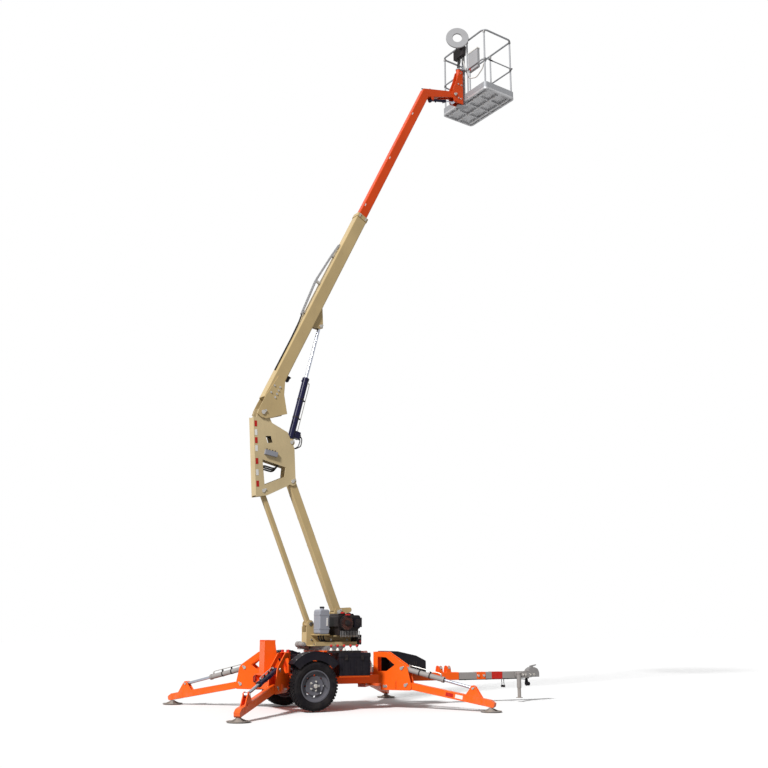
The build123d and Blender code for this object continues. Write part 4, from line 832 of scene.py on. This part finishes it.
def make_legs():
    for name in CORNERS:
        def make(spot, angle=0.0, side=0.0):
            return leg(name, *spot, angle, side)

        body = f"leg_{name}"
        dress_cylinder(make, LEG_JACK_FOOT, LEG_LUG, f"leg_barrel_{name}", 0.035, 0.640, f"outrigger_{name}")
        pin_ends(f"outrigger_{name}", make, [LEG_FOOT, LEG_JACK_FOOT], "chassis", 0.018, 0.065)
        pin_ends(f"outrigger_lug_{name}", make, [LEG_LUG], body, 0.012, 0.0425)
        plates = bmesh.new()
        foot = leg(name, LEG_REACH, 0, 0, 0)
        foot = axes(foot.translation, foot.col[0][:3], (0, 0, 1))
        for turn in around(4, 0.5):
            rib = foot @ Matrix.Rotation(turn, 4, "Z") @ Matrix.Rotation(math.pi / 2, 4, "X")
            add_plate(plates, rib, [(0.030, 0.018), (0.118, 0.010), (0.118, 0.016), (0.034, 0.052)], -0.003,
                      0.003)
        from_bmesh(f"pad_ribs_{name}", plates, body, "grey", bevel=0.0015)
        if name.startswith("front"):
            for finish, along in (("red", 0.66), ("white", 0.80)):
                boxes(f"leg_reflectors_{finish}_{name}",
                      [(on(make, LEG_FOOT, LEG_ANGLE, along, 0, side * 0.0402), (0.110, 0.050, 0.0012))
                       for side in (1, -1)], body, finish)
        weld = bmesh.new()
        for along in (0.14, 1.10):
            place = on(make, LEG_FOOT, LEG_ANGLE, along, 0)
            for start, end in ((0.040, 0.043), (-0.043, -0.040)):
                add_plate(weld, place, [(-0.06, -0.040), (0.06, -0.040), (0.045, 0.040), (-0.045, 0.040)],
                          start, end)
        from_bmesh(f"leg_doublers_{name}", weld, body, "orange", bevel=0.001)


make_legs()


# Booms
def on_upper(along, up, side=0.0):
    return on(boom, UPPER_FOOT, UPPER_ANGLE, along, up, side)


def by_upper_foot(x, z, side=0.0, angle=0.0):
    return boom(shifted(UPPER_FOOT, (x, z)), angle, side)


def run_of(places):
    return [place.translation for place in places]


def make_lift_valve():
    """The valve block and hose loops at the lift cylinder's foot."""
    angle = between(LIFT_FOOT, LIFT_LUG)[1]

    def spot(along, up, side=0.0):
        return on(boom, LIFT_FOOT, angle, along, up, side)

    boxes("lift_valve_block", [(spot(0.150, -0.082), (0.105, 0.085, 0.080)),
                               (spot(0.120, -0.132), (0.040, 0.034, 0.036))], "lift_barrel", "navy", 0.004)
    caps = bmesh.new()
    for along in (0.125, 0.175):
        add_fitting(caps, faced(spot(along, -0.125, 0.012), 2, 1, -1), 0.012)
    from_bmesh("lift_valve_fittings", caps, "lift_barrel", "zinc")
    for index, (side, finish) in enumerate(((-0.018, "grey plastic"), (0.022, "hose"))):
        run = [spot(along, up, side) for along, up in
               ((0.140 + 0.02 * index, -0.126), (0.120, -0.175), (0.010, -0.165 - 0.02 * index),
                (-0.060, -0.105), (-0.050, -0.045))]
        pipe(f"lift_hose_{index}", run_of(run), "lift_barrel", finish, 0.008, 0.06, 10)


def make_lower_boom_hoses():
    """Hoses and clips up the lower boom's far side."""
    angle = between(LOWER_FOOT, LOWER_HEAD)[1]
    for index, (up, radius) in enumerate(((-0.030, 0.011), (0.000, 0.011), (0.030, 0.009))):
        run = [on(boom, LOWER_FOOT, angle, along, up, -0.050 - radius - 0.002)
               for along in (0.16, 0.70, 1.30, 1.84)]
        pipe(f"lower_boom_hose_{index}", run_of(run), "lower_boom", "hose", radius, 0.1, 10)
    boxes("lower_boom_clips", [(on(boom, LOWER_FOOT, angle, along, 0, -0.062), (0.030, 0.090, 0.026))
                               for along in (0.20, 0.62, 1.04, 1.46, 1.80)], "lower_boom", "plastic", 0.003)


def make_upper_boom_hardware():
    """A limit switch under the tail, the bolts of the wear pads and the tail plates, and the pads."""
    boxes("boom_switch", [(on_upper(0.690, -0.128, 0.020), (0.080, 0.046, 0.050)),
                          (on_upper(0.735, -0.148, 0.020), (0.016, 0.040, 0.014))], "upper_boom", "plastic",
          0.004)
    heads = [outward(on_upper(along, up, side * 0.0832), side)
             for along in (3.835, 3.865) for side in (1, -1) for up in (-0.060, 0.060)]
    heads += [outward(on_upper(along, up, side * 0.0872), side) for side in (1, -1) for along, up in
              ((0.300, -0.060), (0.360, -0.060), (0.420, -0.060), (0.480, -0.060), (0.330, 0.030),
               (0.450, 0.030))]
    bolts("upper_boom_bolts", heads, "upper_boom", 0.020, 0.009)
    boxes("upper_boom_pads", [(on_upper(3.884, up), (0.012, 0.004, 0.090)) for up in (0.0775, -0.0775)],
          "upper_boom", "white")


def make_upright_details():
    """Plain reflectors down the rear edge, hoses, and the manifold on the right-hand face."""
    low, top = shifted(LINK_HEAD, (-0.115, -0.094)), shifted(UPPER_FOOT, (-0.142, -0.076))
    size, edge = between(low, top)
    for finish, name, shares in (("red", "red", (0.16, 0.44, 0.70, 0.91)),
                                 ("white", "pale", (0.30, 0.60, 0.80))):
        boxes(f"upright_reflectors_{name}",
              [(on(boom, low, edge, size * share, -0.032, side * 0.0678), (0.085, 0.042, 0.0014))
               for share in shares for side in (1, -1)], "upright", finish)
    for index, side in enumerate((-0.020, 0.010, 0.038)):
        run = [by_upper_foot(x, z, side) for x, z in
               ((0.000, -0.800), (0.060, -0.805 + 0.02 * index), (0.240, -0.835 + 0.02 * index),
                (0.330, -0.700), (0.330, -0.500), (0.240, -0.380), (0.100, -0.300), (0.030, -0.180))]
        pipe(f"upright_hose_{index}", run_of(run), "upright", "hose", 0.012, 0.08, 10)
    boxes("upright_manifold", [(by_upper_foot(0.150, -0.585, 0.084, -8), (0.200, 0.070, 0.036))],
          "upright", "tank", 0.005)
    caps = bmesh.new()
    for k in range(4):
        add_fitting(caps, faced(by_upper_foot(0.080 + 0.045 * k, -0.539 - 0.006 * k, 0.084, -8), 2, 1), 0.010)
    from_bmesh("upright_manifold_fittings", caps, "upright", "dark")


def make_boom_hardware():
    jack_foot, jack_lug = (0.424, 0.940), polar(LOWER_FOOT, 0.210, 9)
    pin_ends("turntable_pins", boom, [LOWER_FOOT, jack_foot], "turntable", 0.024, 0.070)
    pin_ends("link_pin", boom, [LINK_FOOT], "turntable", 0.020, 0.070)
    pin_ends("upright_pins", boom, [LOWER_HEAD, LINK_HEAD, LIFT_FOOT], "upright", 0.021, 0.0705)
    pin_ends("lift_pin", boom, [LIFT_LUG], "upper_boom", 0.020, 0.0475)
    pin_ends("upper_pin", boom, [UPPER_FOOT], "upright", 0.025, 0.097)
    dress_cylinder(boom, LIFT_FOOT, LIFT_LUG, "lift_barrel", 0.048, 1.040, "lift", -1.0)
    dress_cylinder(boom, jack_foot, jack_lug, "lower_barrel", 0.036, 0.360, "lower", -1.0)
    make_lift_valve()
    make_lower_boom_hoses()
    make_upper_boom_hardware()
    make_upright_details()


make_boom_hardware()


def make_carrier():
    path = [(1.756, 0.141), (2.377, 0.187), (2.929, 0.144), (3.168, 0.117)]
    links = grow("carrier_links", make_link_tree(), traced(run_of(on_upper(*spot) for spot in path)),
                 "upper_boom", "grey plastic", Pitch=0.030, Width=0.046, Height=0.022)
    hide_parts("cable_carrier")
    skin = 0.0975
    stands = []
    for along, top in ((1.794, 0.131), (2.377, 0.172), (2.929, 0.132), (3.140, 0.106)):
        middle = (top + skin) / 2
        stands += [(on_upper(along, middle, side), (0.030, top - skin, 0.004)) for side in (-0.020, 0.020)]
        stands.append((on_upper(along, top), (0.034, 0.004, 0.050)))
    boxes("carrier_stands", stands, "upper_boom", "zinc")
    hose = [on_upper(along, up, 0.006) for along, up in
            ((1.770, 0.139), (1.600, 0.120), (1.300, 0.110), (0.700, 0.109))]
    pipe("carrier_hose", run_of(hose), "upper_boom", "hose", 0.011, 0.15, 10)


make_carrier()


# Platform
DECK_BARS = 24
RAIL_INSET = 0.017
CORNER_RADIUS = 0.090
CORNER_INSET = CORNER_RADIUS * (1 - math.cos(math.radians(45)))


def cage(x, y, z):
    """A place by the platform: x outward from the slew axis, y to the left, z up."""
    c, s = math.cos(SLEW_REST), math.sin(SLEW_REST)
    return axes((SLEW_X + x * c - y * s, x * s + y * c, z), (c, s, 0), (0, 0, 1))


def make_deck():
    """Raised bars on the deck, and bearers and bolts under it."""
    edge, depth, width = PLATFORM
    margin = TREAD_MARGIN + 0.010
    slats("deck_grip", cage(edge + margin, 0, FLOOR_Z + TREAD_RISE + 0.001), "platform", "deck", DECK_BARS,
          (depth - 2 * margin) / (DECK_BARS - 1), width - 2 * margin, 0.007, 0.003)
    lines = (edge + 0.10, edge + depth / 2, edge + depth - 0.10)
    boxes("deck_bearers", [(cage(x, 0, FLOOR_Z - 0.036), (0.040, width - 0.16, 0.012)) for x in lines],
          "platform", "deck", 0.002)
    heads = [faced(cage(x, (k - 3) * 0.150, FLOOR_Z - 0.042), 0, 2, -1) for x in lines for k in range(7)]
    bolts("deck_bolts", heads, "platform", 0.017, 0.007)


def make_rails():
    """Collars where rails meet posts, and the latch, grip and pin of the entry bar."""
    edge, depth, width = PLATFORM
    low, high = edge + RAIL_INSET, edge + depth - RAIL_INSET
    near, far = RAIL_INSET - width / 2, width / 2 - RAIL_INSET
    corners = [(x + (CORNER_INSET if x == low else -CORNER_INSET),
                y + (CORNER_INSET if y == near else -CORNER_INSET))
               for x in (low, high) for y in (near, far)]
    collars = bmesh.new()
    for x, y in corners + [(low, -0.120), (low, 0.120), (high, 0)]:
        for z, tall in ((MID_RAIL_Z, 0.044), (TOP_RAIL_Z - 0.032, 0.030), (FLOOR_Z + 0.018, 0.030)):
            add_turned(collars, cage(x, y, z - tall / 2),
                       [(0.0125, 0), (0.0220, 0), (0.0220, tall), (0.0125, tall), (0.0125, 0)], 20)
    from_bmesh("cage_collars", collars, "platform", "cast")
    spot = cage(low + CORNER_INSET, near + CORNER_INSET - 0.018, MID_RAIL_Z)
    boxes("entry_latch", [(spot, (0.040, 0.006, 0.070), (0, -0.002, -0.018))], "platform", "dark", 0.001)
    bar = cage(low + CORNER_INSET + 0.120, -width / 2 + 0.014, MID_RAIL_Z)
    turnings("entry_grip", [faced(bar, 2, 0)],
             [(0.0105, -0.045), (0.0135, -0.042), (0.0135, 0.042), (0.0105, 0.045), (0.0105, -0.045)],
             "entry_bar", "dark", 20)
    pin = cage(high - CORNER_INSET, -width / 2 + 0.0005, MID_RAIL_Z)
    bolts("entry_pin_head", [faced(pin, 2, 1, -1)], "platform", 0.016, 0.008, "dark")


def make_console():
    """The document box, the console's controls, its cables and a sagging lead."""
    edge = PLATFORM[0]
    boxes("document_box", [(cage(edge + 0.048, -0.270, 11.150), (0.055, 0.250, 0.370))], "platform",
          "grey plastic", 0.010)
    boxes("document_lid", [(cage(edge + 0.048, -0.270, 11.346), (0.066, 0.262, 0.022))], "platform", "white",
          0.006)
    turnings("joystick_boots", [cage(CONSOLE_R - 0.010, -y, 11.486) for y in (-0.070, 0, 0.070)],
             [(0, 0), (0.026, 0), (0.026, 0.008), (0.020, 0.012), (0.021, 0.017), (0.015, 0.020),
              (0.016, 0.025), (0.008, 0.032), (0, 0.032)], "platform", "hose", 20)
    turnings("stop_button", [cage(CONSOLE_R + 0.022, -0.106, 11.494)],
             [(0, 0), (0.012, 0), (0.012, 0.014), (0.021, 0.016), (0.021, 0.024), (0.017, 0.029), (0, 0.031)],
             "platform", "knob", 24)
    boxes("console_keys", [(cage(CONSOLE_R + 0.020, 0.030 + 0.024 * (k - 1.5), 11.508), (0.014, 0.014, 0.012))
                           for k in range(4)], "platform", "white", 0.002)
    for index, (side, radius) in enumerate(((-0.015, 0.011), (0.014, 0.010))):
        run = [cage(x, side * wide, z) for x, wide, z in
               ((YOKE_R, 1, 11.052), (YOKE_R, 1.4, 11.110), (CONSOLE_R - 0.016, 2.2, 11.200),
                (CONSOLE_R - 0.012, 2.4, 11.302))]
        pipe(f"console_cable_{index}", run_of(run), "platform", "hose", radius, 0.06, 10)
    lead = [cage(x, y, z) for x, y, z in
            ((CONSOLE_R + 0.030, -0.040, 11.300), (edge + 0.050, -0.060, 10.980),
             (edge + 0.055, -0.130, 10.860), (edge + 0.055, -0.320, 10.790), (edge + 0.055, -0.480, 10.880),
             (edge + 0.052, -0.566, 11.014))]
    pipe("lanyard", run_of(lead), "platform", "white", 0.012, 0.12, 10)


def make_platform():
    make_deck()
    make_rails()
    make_console()
    anchors = bmesh.new()
    outline = [(0.028 * math.cos(a) - 0.012, 0.028 * math.sin(a)) for a in around(16)]
    for y in (-0.200, 0.200):
        add_plate(anchors, faced(cage(PLATFORM[0] + RAIL_INSET, y, MID_RAIL_Z - 0.026), 2, 1), outline,
                  -0.004, 0.004)
    from_bmesh("lanyard_anchors", anchors, "platform", "red", bevel=0.001)
    turned("yoke_cap", cage(YOKE_R, 0, 11.048),
           [(0, 0), (0.034, 0), (0.034, 0.006), (0.016, 0.009), (0, 0.009)], "platform", "cast")
    pin_ends("level_pin", boom, [LEVEL_PIN], "fly", 0.022, 0.077)
    heads = [outward(boom(spot, 0, side * 0.0676), side) for side in (1, -1) for spot in
             ((2.640, 10.420), (2.700, 10.420), (2.640, 10.700), (2.715, 10.700), (2.700, 10.940))]
    bolts("bracket_bolts", heads, "platform_mount", 0.020, 0.008)


make_platform()


# Fly boom and gooseneck
def make_fly():
    boxes("fly_marks", [(on_upper(along, 0.050, side * 0.0552), (0.050, 0.018, 0.001))
                        for along in (4.10, 5.20, 6.30) for side in (1, -1)], "fly", "white")
    angle = UPPER_ANGLE - GOOSE_TURN
    run = [on(boom, ELBOW, angle, along, up) for along, up in
           ((-0.040, 0.092), (0.200, 0.088), (0.420, 0.076), (0.600, 0.072))]
    pipe("goose_cable", run_of(run), "fly", "hose", 0.010, 0.08, 10)
    boxes("goose_clips", [(on(boom, ELBOW, angle, along, up), (0.022, 0.022, 0.040))
                          for along, up in ((0.140, 0.086), (0.420, 0.070))], "fly", "plastic", 0.003)


make_fly()


# Tongue
def make_tongue():
    for name, first, last, half, finish in (("band", 2.470, 2.625, 0.0512, "orange"),
                                            ("mark", 2.735, 2.925, 0.0508, "red")):
        middle, long = SLEW_X + (first + last) / 2, last - first
        wrap = []
        for side in (1, -1):
            wrap.append((Matrix.Translation((middle, side * half, TONGUE_Z)), (long, 0.002, 2 * half)))
            wrap.append((Matrix.Translation((middle, 0, TONGUE_Z + side * half)), (long, 2 * half, 0.002)))
        boxes(f"tongue_{name}", wrap, "chassis", finish)
    heads = [axes((SLEW_X + x, sign * out, z), (1, 0, 0), (0, sign, 0))
             for x, out, z in ((2.500, 0.0525, TONGUE_Z), (2.595, 0.0525, TONGUE_Z),
                               (3.300, 0.0502, TONGUE_Z), (3.350, 0.0502, TONGUE_Z),
                               (3.440, 0.0452, TONGUE_Z), (3.510, 0.0452, TONGUE_Z), (1.850, 0.0542, 0.521),
                               (1.990, 0.0542, 0.521))
             for sign in (1, -1)]
    bolts("tongue_bolts", heads, "chassis", 0.024, 0.012)
    run = [(SLEW_X + x, y, z) for x, y, z in
           ((2.20, 0.020, 0.337), (2.70, 0.026, 0.337), (3.20, 0.020, 0.337), (3.40, 0.018, 0.322))]
    pipe("lighting_lead", run, "chassis", "hose", 0.007, 0.1, 10)
    boxes("lead_clips", [(Matrix.Translation((SLEW_X + x, 0.023, 0.338)), (0.020, 0.026, 0.018))
                         for x in (2.30, 2.68, 3.06)], "chassis", "plastic", 0.003)
    chain = make_chain_tree()
    for side, name in SIDES:
        start = Vector((SLEW_X + 2.960, side * 0.030, 0.335))
        run = [start, start + Vector((0, 0, -0.030)), start + Vector((0.004, 0, -0.082))]
        grow(f"safety_chain_{name}", chain, traced(run), "chassis", "dark", Pitch=0.021, Wire=0.0028)
        boxes(f"chain_ends_{name}",
              [(Matrix.Translation(start + Vector((0, 0, 0.006))), (0.016, 0.010, 0.020)),
                                     (Matrix.Translation(start + Vector((0.004, 0, -0.104))),
                                      (0.030, 0.014, 0.034))],
              "chassis", "dark", 0.003)


make_tongue()


# Hood, boxes, valves, fenders and lamps
def make_boxes_and_hood():
    for side, name in reversed(SIDES):
        slats(f"hood_vent_{name}", axes((SLEW_X + 1.12, side * HOOD_SIDE, 0.560), (1, 0, 0), (0, side, 0)),
              "chassis", "dark", 9, 0.030, 0.110, 0.010, 0.004)
    latches = []
    for side, x in ((side, x) for side in (1, -1) for x in (0.06, 0.30)):
        spot = axes((SLEW_X + x, side * BATTERY_SIDE, 0.700), (-side, 0, 0), (0, side, 0))
        latches += [(spot, (0.040, 0.070, 0.010)), (spot, (0.024, 0.016, 0.018), (0, -0.024, 0.004))]
    boxes("battery_latches", latches, "chassis", "dark", 0.002)
    boxes("battery_ribs", [(Matrix.Translation((SLEW_X + x, side * 0.641, 0.575)), (0.016, 0.008, 0.190))
                           for side in (1, -1) for x in (0.02, 0.11, 0.20, 0.29, 0.38)], "chassis", "plastic",
          0.003)


def make_valves():
    """Knobs and boots of the outriggers' levers, hoses behind them, and caps on the rear brackets."""
    pitch = (VALVE_SPAN[1] - VALVE_SPAN[0]) / 5
    levers = [SLEW_X + VALVE_SPAN[0] + pitch * (k + 0.5) for k in range(5)]
    turnings("lever_knobs", [Matrix.Translation((x, VALVE_Y, KNOB_Z)) for x in levers],
             [(0, 0), (0.011, 0.001), (0.018, 0.010), (0.020, 0.020), (0.016, 0.030), (0.008, 0.036),
              (0, 0.037)],
             "chassis", "knob", 20, 60)
    turnings("lever_boots", [Matrix.Translation((x, VALVE_Y, BOOT_Z)) for x in levers],
             [(0.0052, 0), (0.023, 0), (0.022, 0.012), (0.016, 0.024), (0.012, 0.036), (0.0052, 0.037),
              (0.0052, 0)], "chassis", "white", 16)
    for k in range(4):
        x = SLEW_X + VALVE_SPAN[0] + pitch * (k + 1)
        run = [(x, VALVE_Y + 0.028, 0.775), (x, VALVE_Y + 0.070, 0.782), (x - 0.01, -0.440, 0.784),
               (x - 0.02, -0.362, 0.740), (x - 0.02, -0.352, 0.500)]
        pipe(f"valve_hose_{k}", run, "chassis", "hose", 0.009, 0.06, 10)
    boxes("cap_shelves", [(leg(name, -0.450, 0.769), (0.096, 0.006, 0.126))
                          for name in ("rear_left", "rear_right")],
          "chassis", "orange", 0.001)
    for finish, places in (("knob", (-0.042, 0.042)), ("white", (0.0,))):
        turnings(f"coupling_caps_{finish}",
                 [Matrix.Translation(leg(name, -0.450, 0.772, 0, side * across).translation)
                  for side, name in ((1, "rear_left"), (-1, "rear_right")) for across in places],
                 [(0, 0), (0.019, 0), (0.019, 0.026), (0.013, 0.034), (0, 0.034)], "chassis", finish, 20)


def make_fender_details():
    """Rivets over the fenders, side skirts that close the wheel arches, and the lamps' bezels."""
    heads = []
    for side, turn in ((side, turn) for side in (1, -1) for turn in (48, 62, 76, 104, 118, 132)):
        out = Vector((math.cos(math.radians(turn)), 0, math.sin(math.radians(turn))))
        for across in (-0.085, 0.085):
            middle = Vector((AXLE[0], side * (TRACK / 2) + across, FENDER_Z))
            heads.append(axes(middle + out * FENDER_SKIN, (0, 1, 0), out))
    bolts("fender_bolts", heads, "chassis", 0.012, 0.005)
    outline = [(radius * math.cos(math.radians(turn)), radius * math.sin(math.radians(turn)))
               for radius, turns in ((0.411, range(38, 143, 4)), (0.300, range(142, 37, -4)))
               for turn in turns]
    for side, name in SIDES:
        middle = axes((AXLE[0], side * TRACK / 2, FENDER_Z), (-side, 0, 0), (0, side, 0))
        skirt = bmesh.new()
        for edge in (0.1085, -0.1125):
            add_plate(skirt, middle, outline, edge, edge + 0.004)
        from_bmesh(f"fender_skirts_{name}", skirt, "chassis", "plastic", smooth=20)
    for side, name in SIDES:
        turned(f"lamp_bezel_{name}", axes((SLEW_X - 0.9262, side * 0.330, 0.400), (0, 1, 0), (-1, 0, 0)),
               [(0.037, -0.004), (0.047, -0.004), (0.047, 0.002), (0.043, 0.005), (0.037, 0.004),
                (0.037, -0.004)],
               "chassis", "dark")


make_boxes_and_hood()
make_valves()
make_fender_details()


# Turntable: engine, tank, controls
ENGINE_SIDE = 0.350


def make_engine():
    shroud = boom((0.130, 1.160), 0, ENGINE_SIDE + 0.036)
    boxes("starter_grille",
          [(shroud @ Matrix.Rotation(turn, 4, "Z"), (0.052, 0.005, 0.008), (0.070, 0, 0.003))
                             for turn in around(24)], "turntable", "rusty")
    turned("starter_hub", shroud @ Matrix.Translation((0, 0, 0.016)),
           [(0, 0), (0.036, 0), (0.036, 0.004), (0.024, 0.009), (0, 0.009)], "turntable", "dark")
    boxes("starter_handle", [(boom((0.130, 1.275), 0, ENGINE_SIDE + 0.050), (0.070, 0.020, 0.020))],
          "turntable", "knob", 0.006)
    boxes("air_filter", [(boom((0.312, 1.170), 0, ENGINE_SIDE + 0.024), (0.116, 0.130, 0.050))],
          "turntable", "plastic", 0.012)
    slats("air_filter_slots", boom((0.272, 1.170), 0, ENGINE_SIDE + 0.050), "turntable", "dark", 5, 0.020,
          0.090, 0.007, 0.004)
    slats("engine_fins", boom((0.050, 1.010), 0, ENGINE_SIDE - 0.006), "turntable", "cast", 13, 0.026, 0.085,
          0.006, 0.012)
    turned("silencer_cap", faced(boom((0.402, 1.180), 0, 0.214), 2, 0),
           [(0, -0.001), (0.070, -0.001), (0.070, 0.008), (0.030, 0.014), (0, 0.014)], "turntable", "rusty")


def upright_at(spot, side):
    """A place over the turntable with its z up."""
    return axes(boom(spot, 0, side).translation, (1, 0, 0), (0, 0, 1))


def make_tank():
    turned("fuel_cap", upright_at((0.160, 1.291), TANK[1]),
           [(0, 0), (0.030, 0), (0.032, 0.004), (0.032, 0.018), (0.028, 0.022), (0, 0.023)], "turntable",
           "knob")
    turned("tank_cap", upright_at((TANK[0], 1.365), TANK[1]),
           [(0, 0), (0.034, 0), (0.034, 0.014), (0.028, 0.020), (0, 0.020)], "turntable", "plastic")
    boxes("tank_straps", [(boom((TANK[0], z), 0, TANK[1]), (0.168, 0.018, 0.164)) for z in (1.080, 1.270)],
          "turntable", "tank", 0.002)
    boxes("tank_gauge", [(boom((-0.150, 1.175), 0, 0.302), (0.018, 0.110, 0.010))], "turntable", "white",
          0.002)
    for index, r in enumerate((-0.240, -0.200, -0.160)):
        run = [boom((x, z), 0, out) for x, z, out in
               ((r, 0.990, 0.220), (r, 0.930, 0.210), (r + 0.10, 0.905, 0.180),
                (0.060 + 0.05 * index, 0.885 + 0.01 * index, 0.120), (0.200, 0.885, 0.100 + 0.02 * index))]
        pipe(f"tank_hose_{index}", run_of(run), "turntable", "hose", 0.010, 0.07, 10)


def make_controls():
    turnings("ground_keys", [boom((r, 0.952), 0, 0.2395) for r in (0.418, 0.440, 0.462)],
             [(0, 0), (0.008, 0), (0.007, 0.006), (0, 0.006)], "turntable", "white", 16)
    turned("ground_stop", boom((0.440, 0.907), 0, 0.2475),
           [(0, 0), (0.017, 0), (0.020, 0.004), (0.019, 0.010), (0.012, 0.014), (0, 0.015)], "turntable",
           "knob")
    heads = [outward(boom(spot, 0, side * 0.0672), side) for side in (1, -1) for spot in
             ((-0.260, 0.930), (-0.100, 0.930), (0.060, 0.930), (0.300, 0.990), (0.330, 0.930))]
    bolts("turntable_side_bolts", heads, "turntable", 0.020, 0.009)


make_engine()
make_tank()
make_controls()


# Floor, light and background
WORLD_LIGHT = 0.30
FLOOR_SEEN = 0.97
FLOOR_BOUNCE = 0.38
KEY_FROM = Vector((-0.65, -0.44, 0.62))
KEY_STRENGTH = 3.85
KEY_SPREAD = 9


def lit_sight(tree):
    """The share of rays that see the plain white backdrop: from the camera, off metal and through glass."""
    camera = tree.node("ShaderNodeLightPath", out="Is Camera Ray")
    return (camera + camera.other("Is Glossy Ray") + camera.other("Is Transmission Ray")).clamped()


def make_stage():
    shape = bmesh.new()
    add_box(shape, Matrix.Translation((0, 0, -0.02)), (160, 160, 0.04))
    mesh = bpy.data.meshes.new("floor")
    shape.to_mesh(mesh)
    shape.free()
    floor = bpy.data.objects.new("floor", mesh)
    bpy.context.scene.collection.objects.link(floor)
    paint = Paint("pale floor", Roughness=1.0, Specular_IOR_Level=0.0)
    paint.feed("Base Color", paint.mix(lit_sight(paint), (FLOOR_BOUNCE,) * 3, (FLOOR_SEEN,) * 3))
    mesh.materials.append(paint.material)
    world = bpy.data.worlds.new("studio")
    bpy.context.scene.world = world
    world.use_nodes = True
    tree = Tree(world.node_tree)
    world.node_tree.nodes.clear()
    soft, plain = (tree.node("ShaderNodeBackground", {}, {"Color": (1, 1, 1, 1), "Strength": strength})
                   for strength in (WORLD_LIGHT, 1.0))
    both = tree.node("ShaderNodeMixShader", {}, {0: lit_sight(tree), 1: soft, 2: plain})
    output = world.node_tree.nodes.new("ShaderNodeOutputWorld")
    world.node_tree.links.new(both.socket, output.inputs[0])
    lamp = bpy.data.lights.new("key", "SUN")
    lamp.energy = KEY_STRENGTH
    lamp.angle = math.radians(KEY_SPREAD)
    holder = bpy.data.objects.new("key", lamp)
    bpy.context.scene.collection.objects.link(holder)
    holder.location = KEY_FROM * 20
    holder.rotation_euler = KEY_FROM.to_track_quat("Z", "Y").to_euler()


make_stage()
bpy.context.scene.view_settings.view_transform = "Standard"
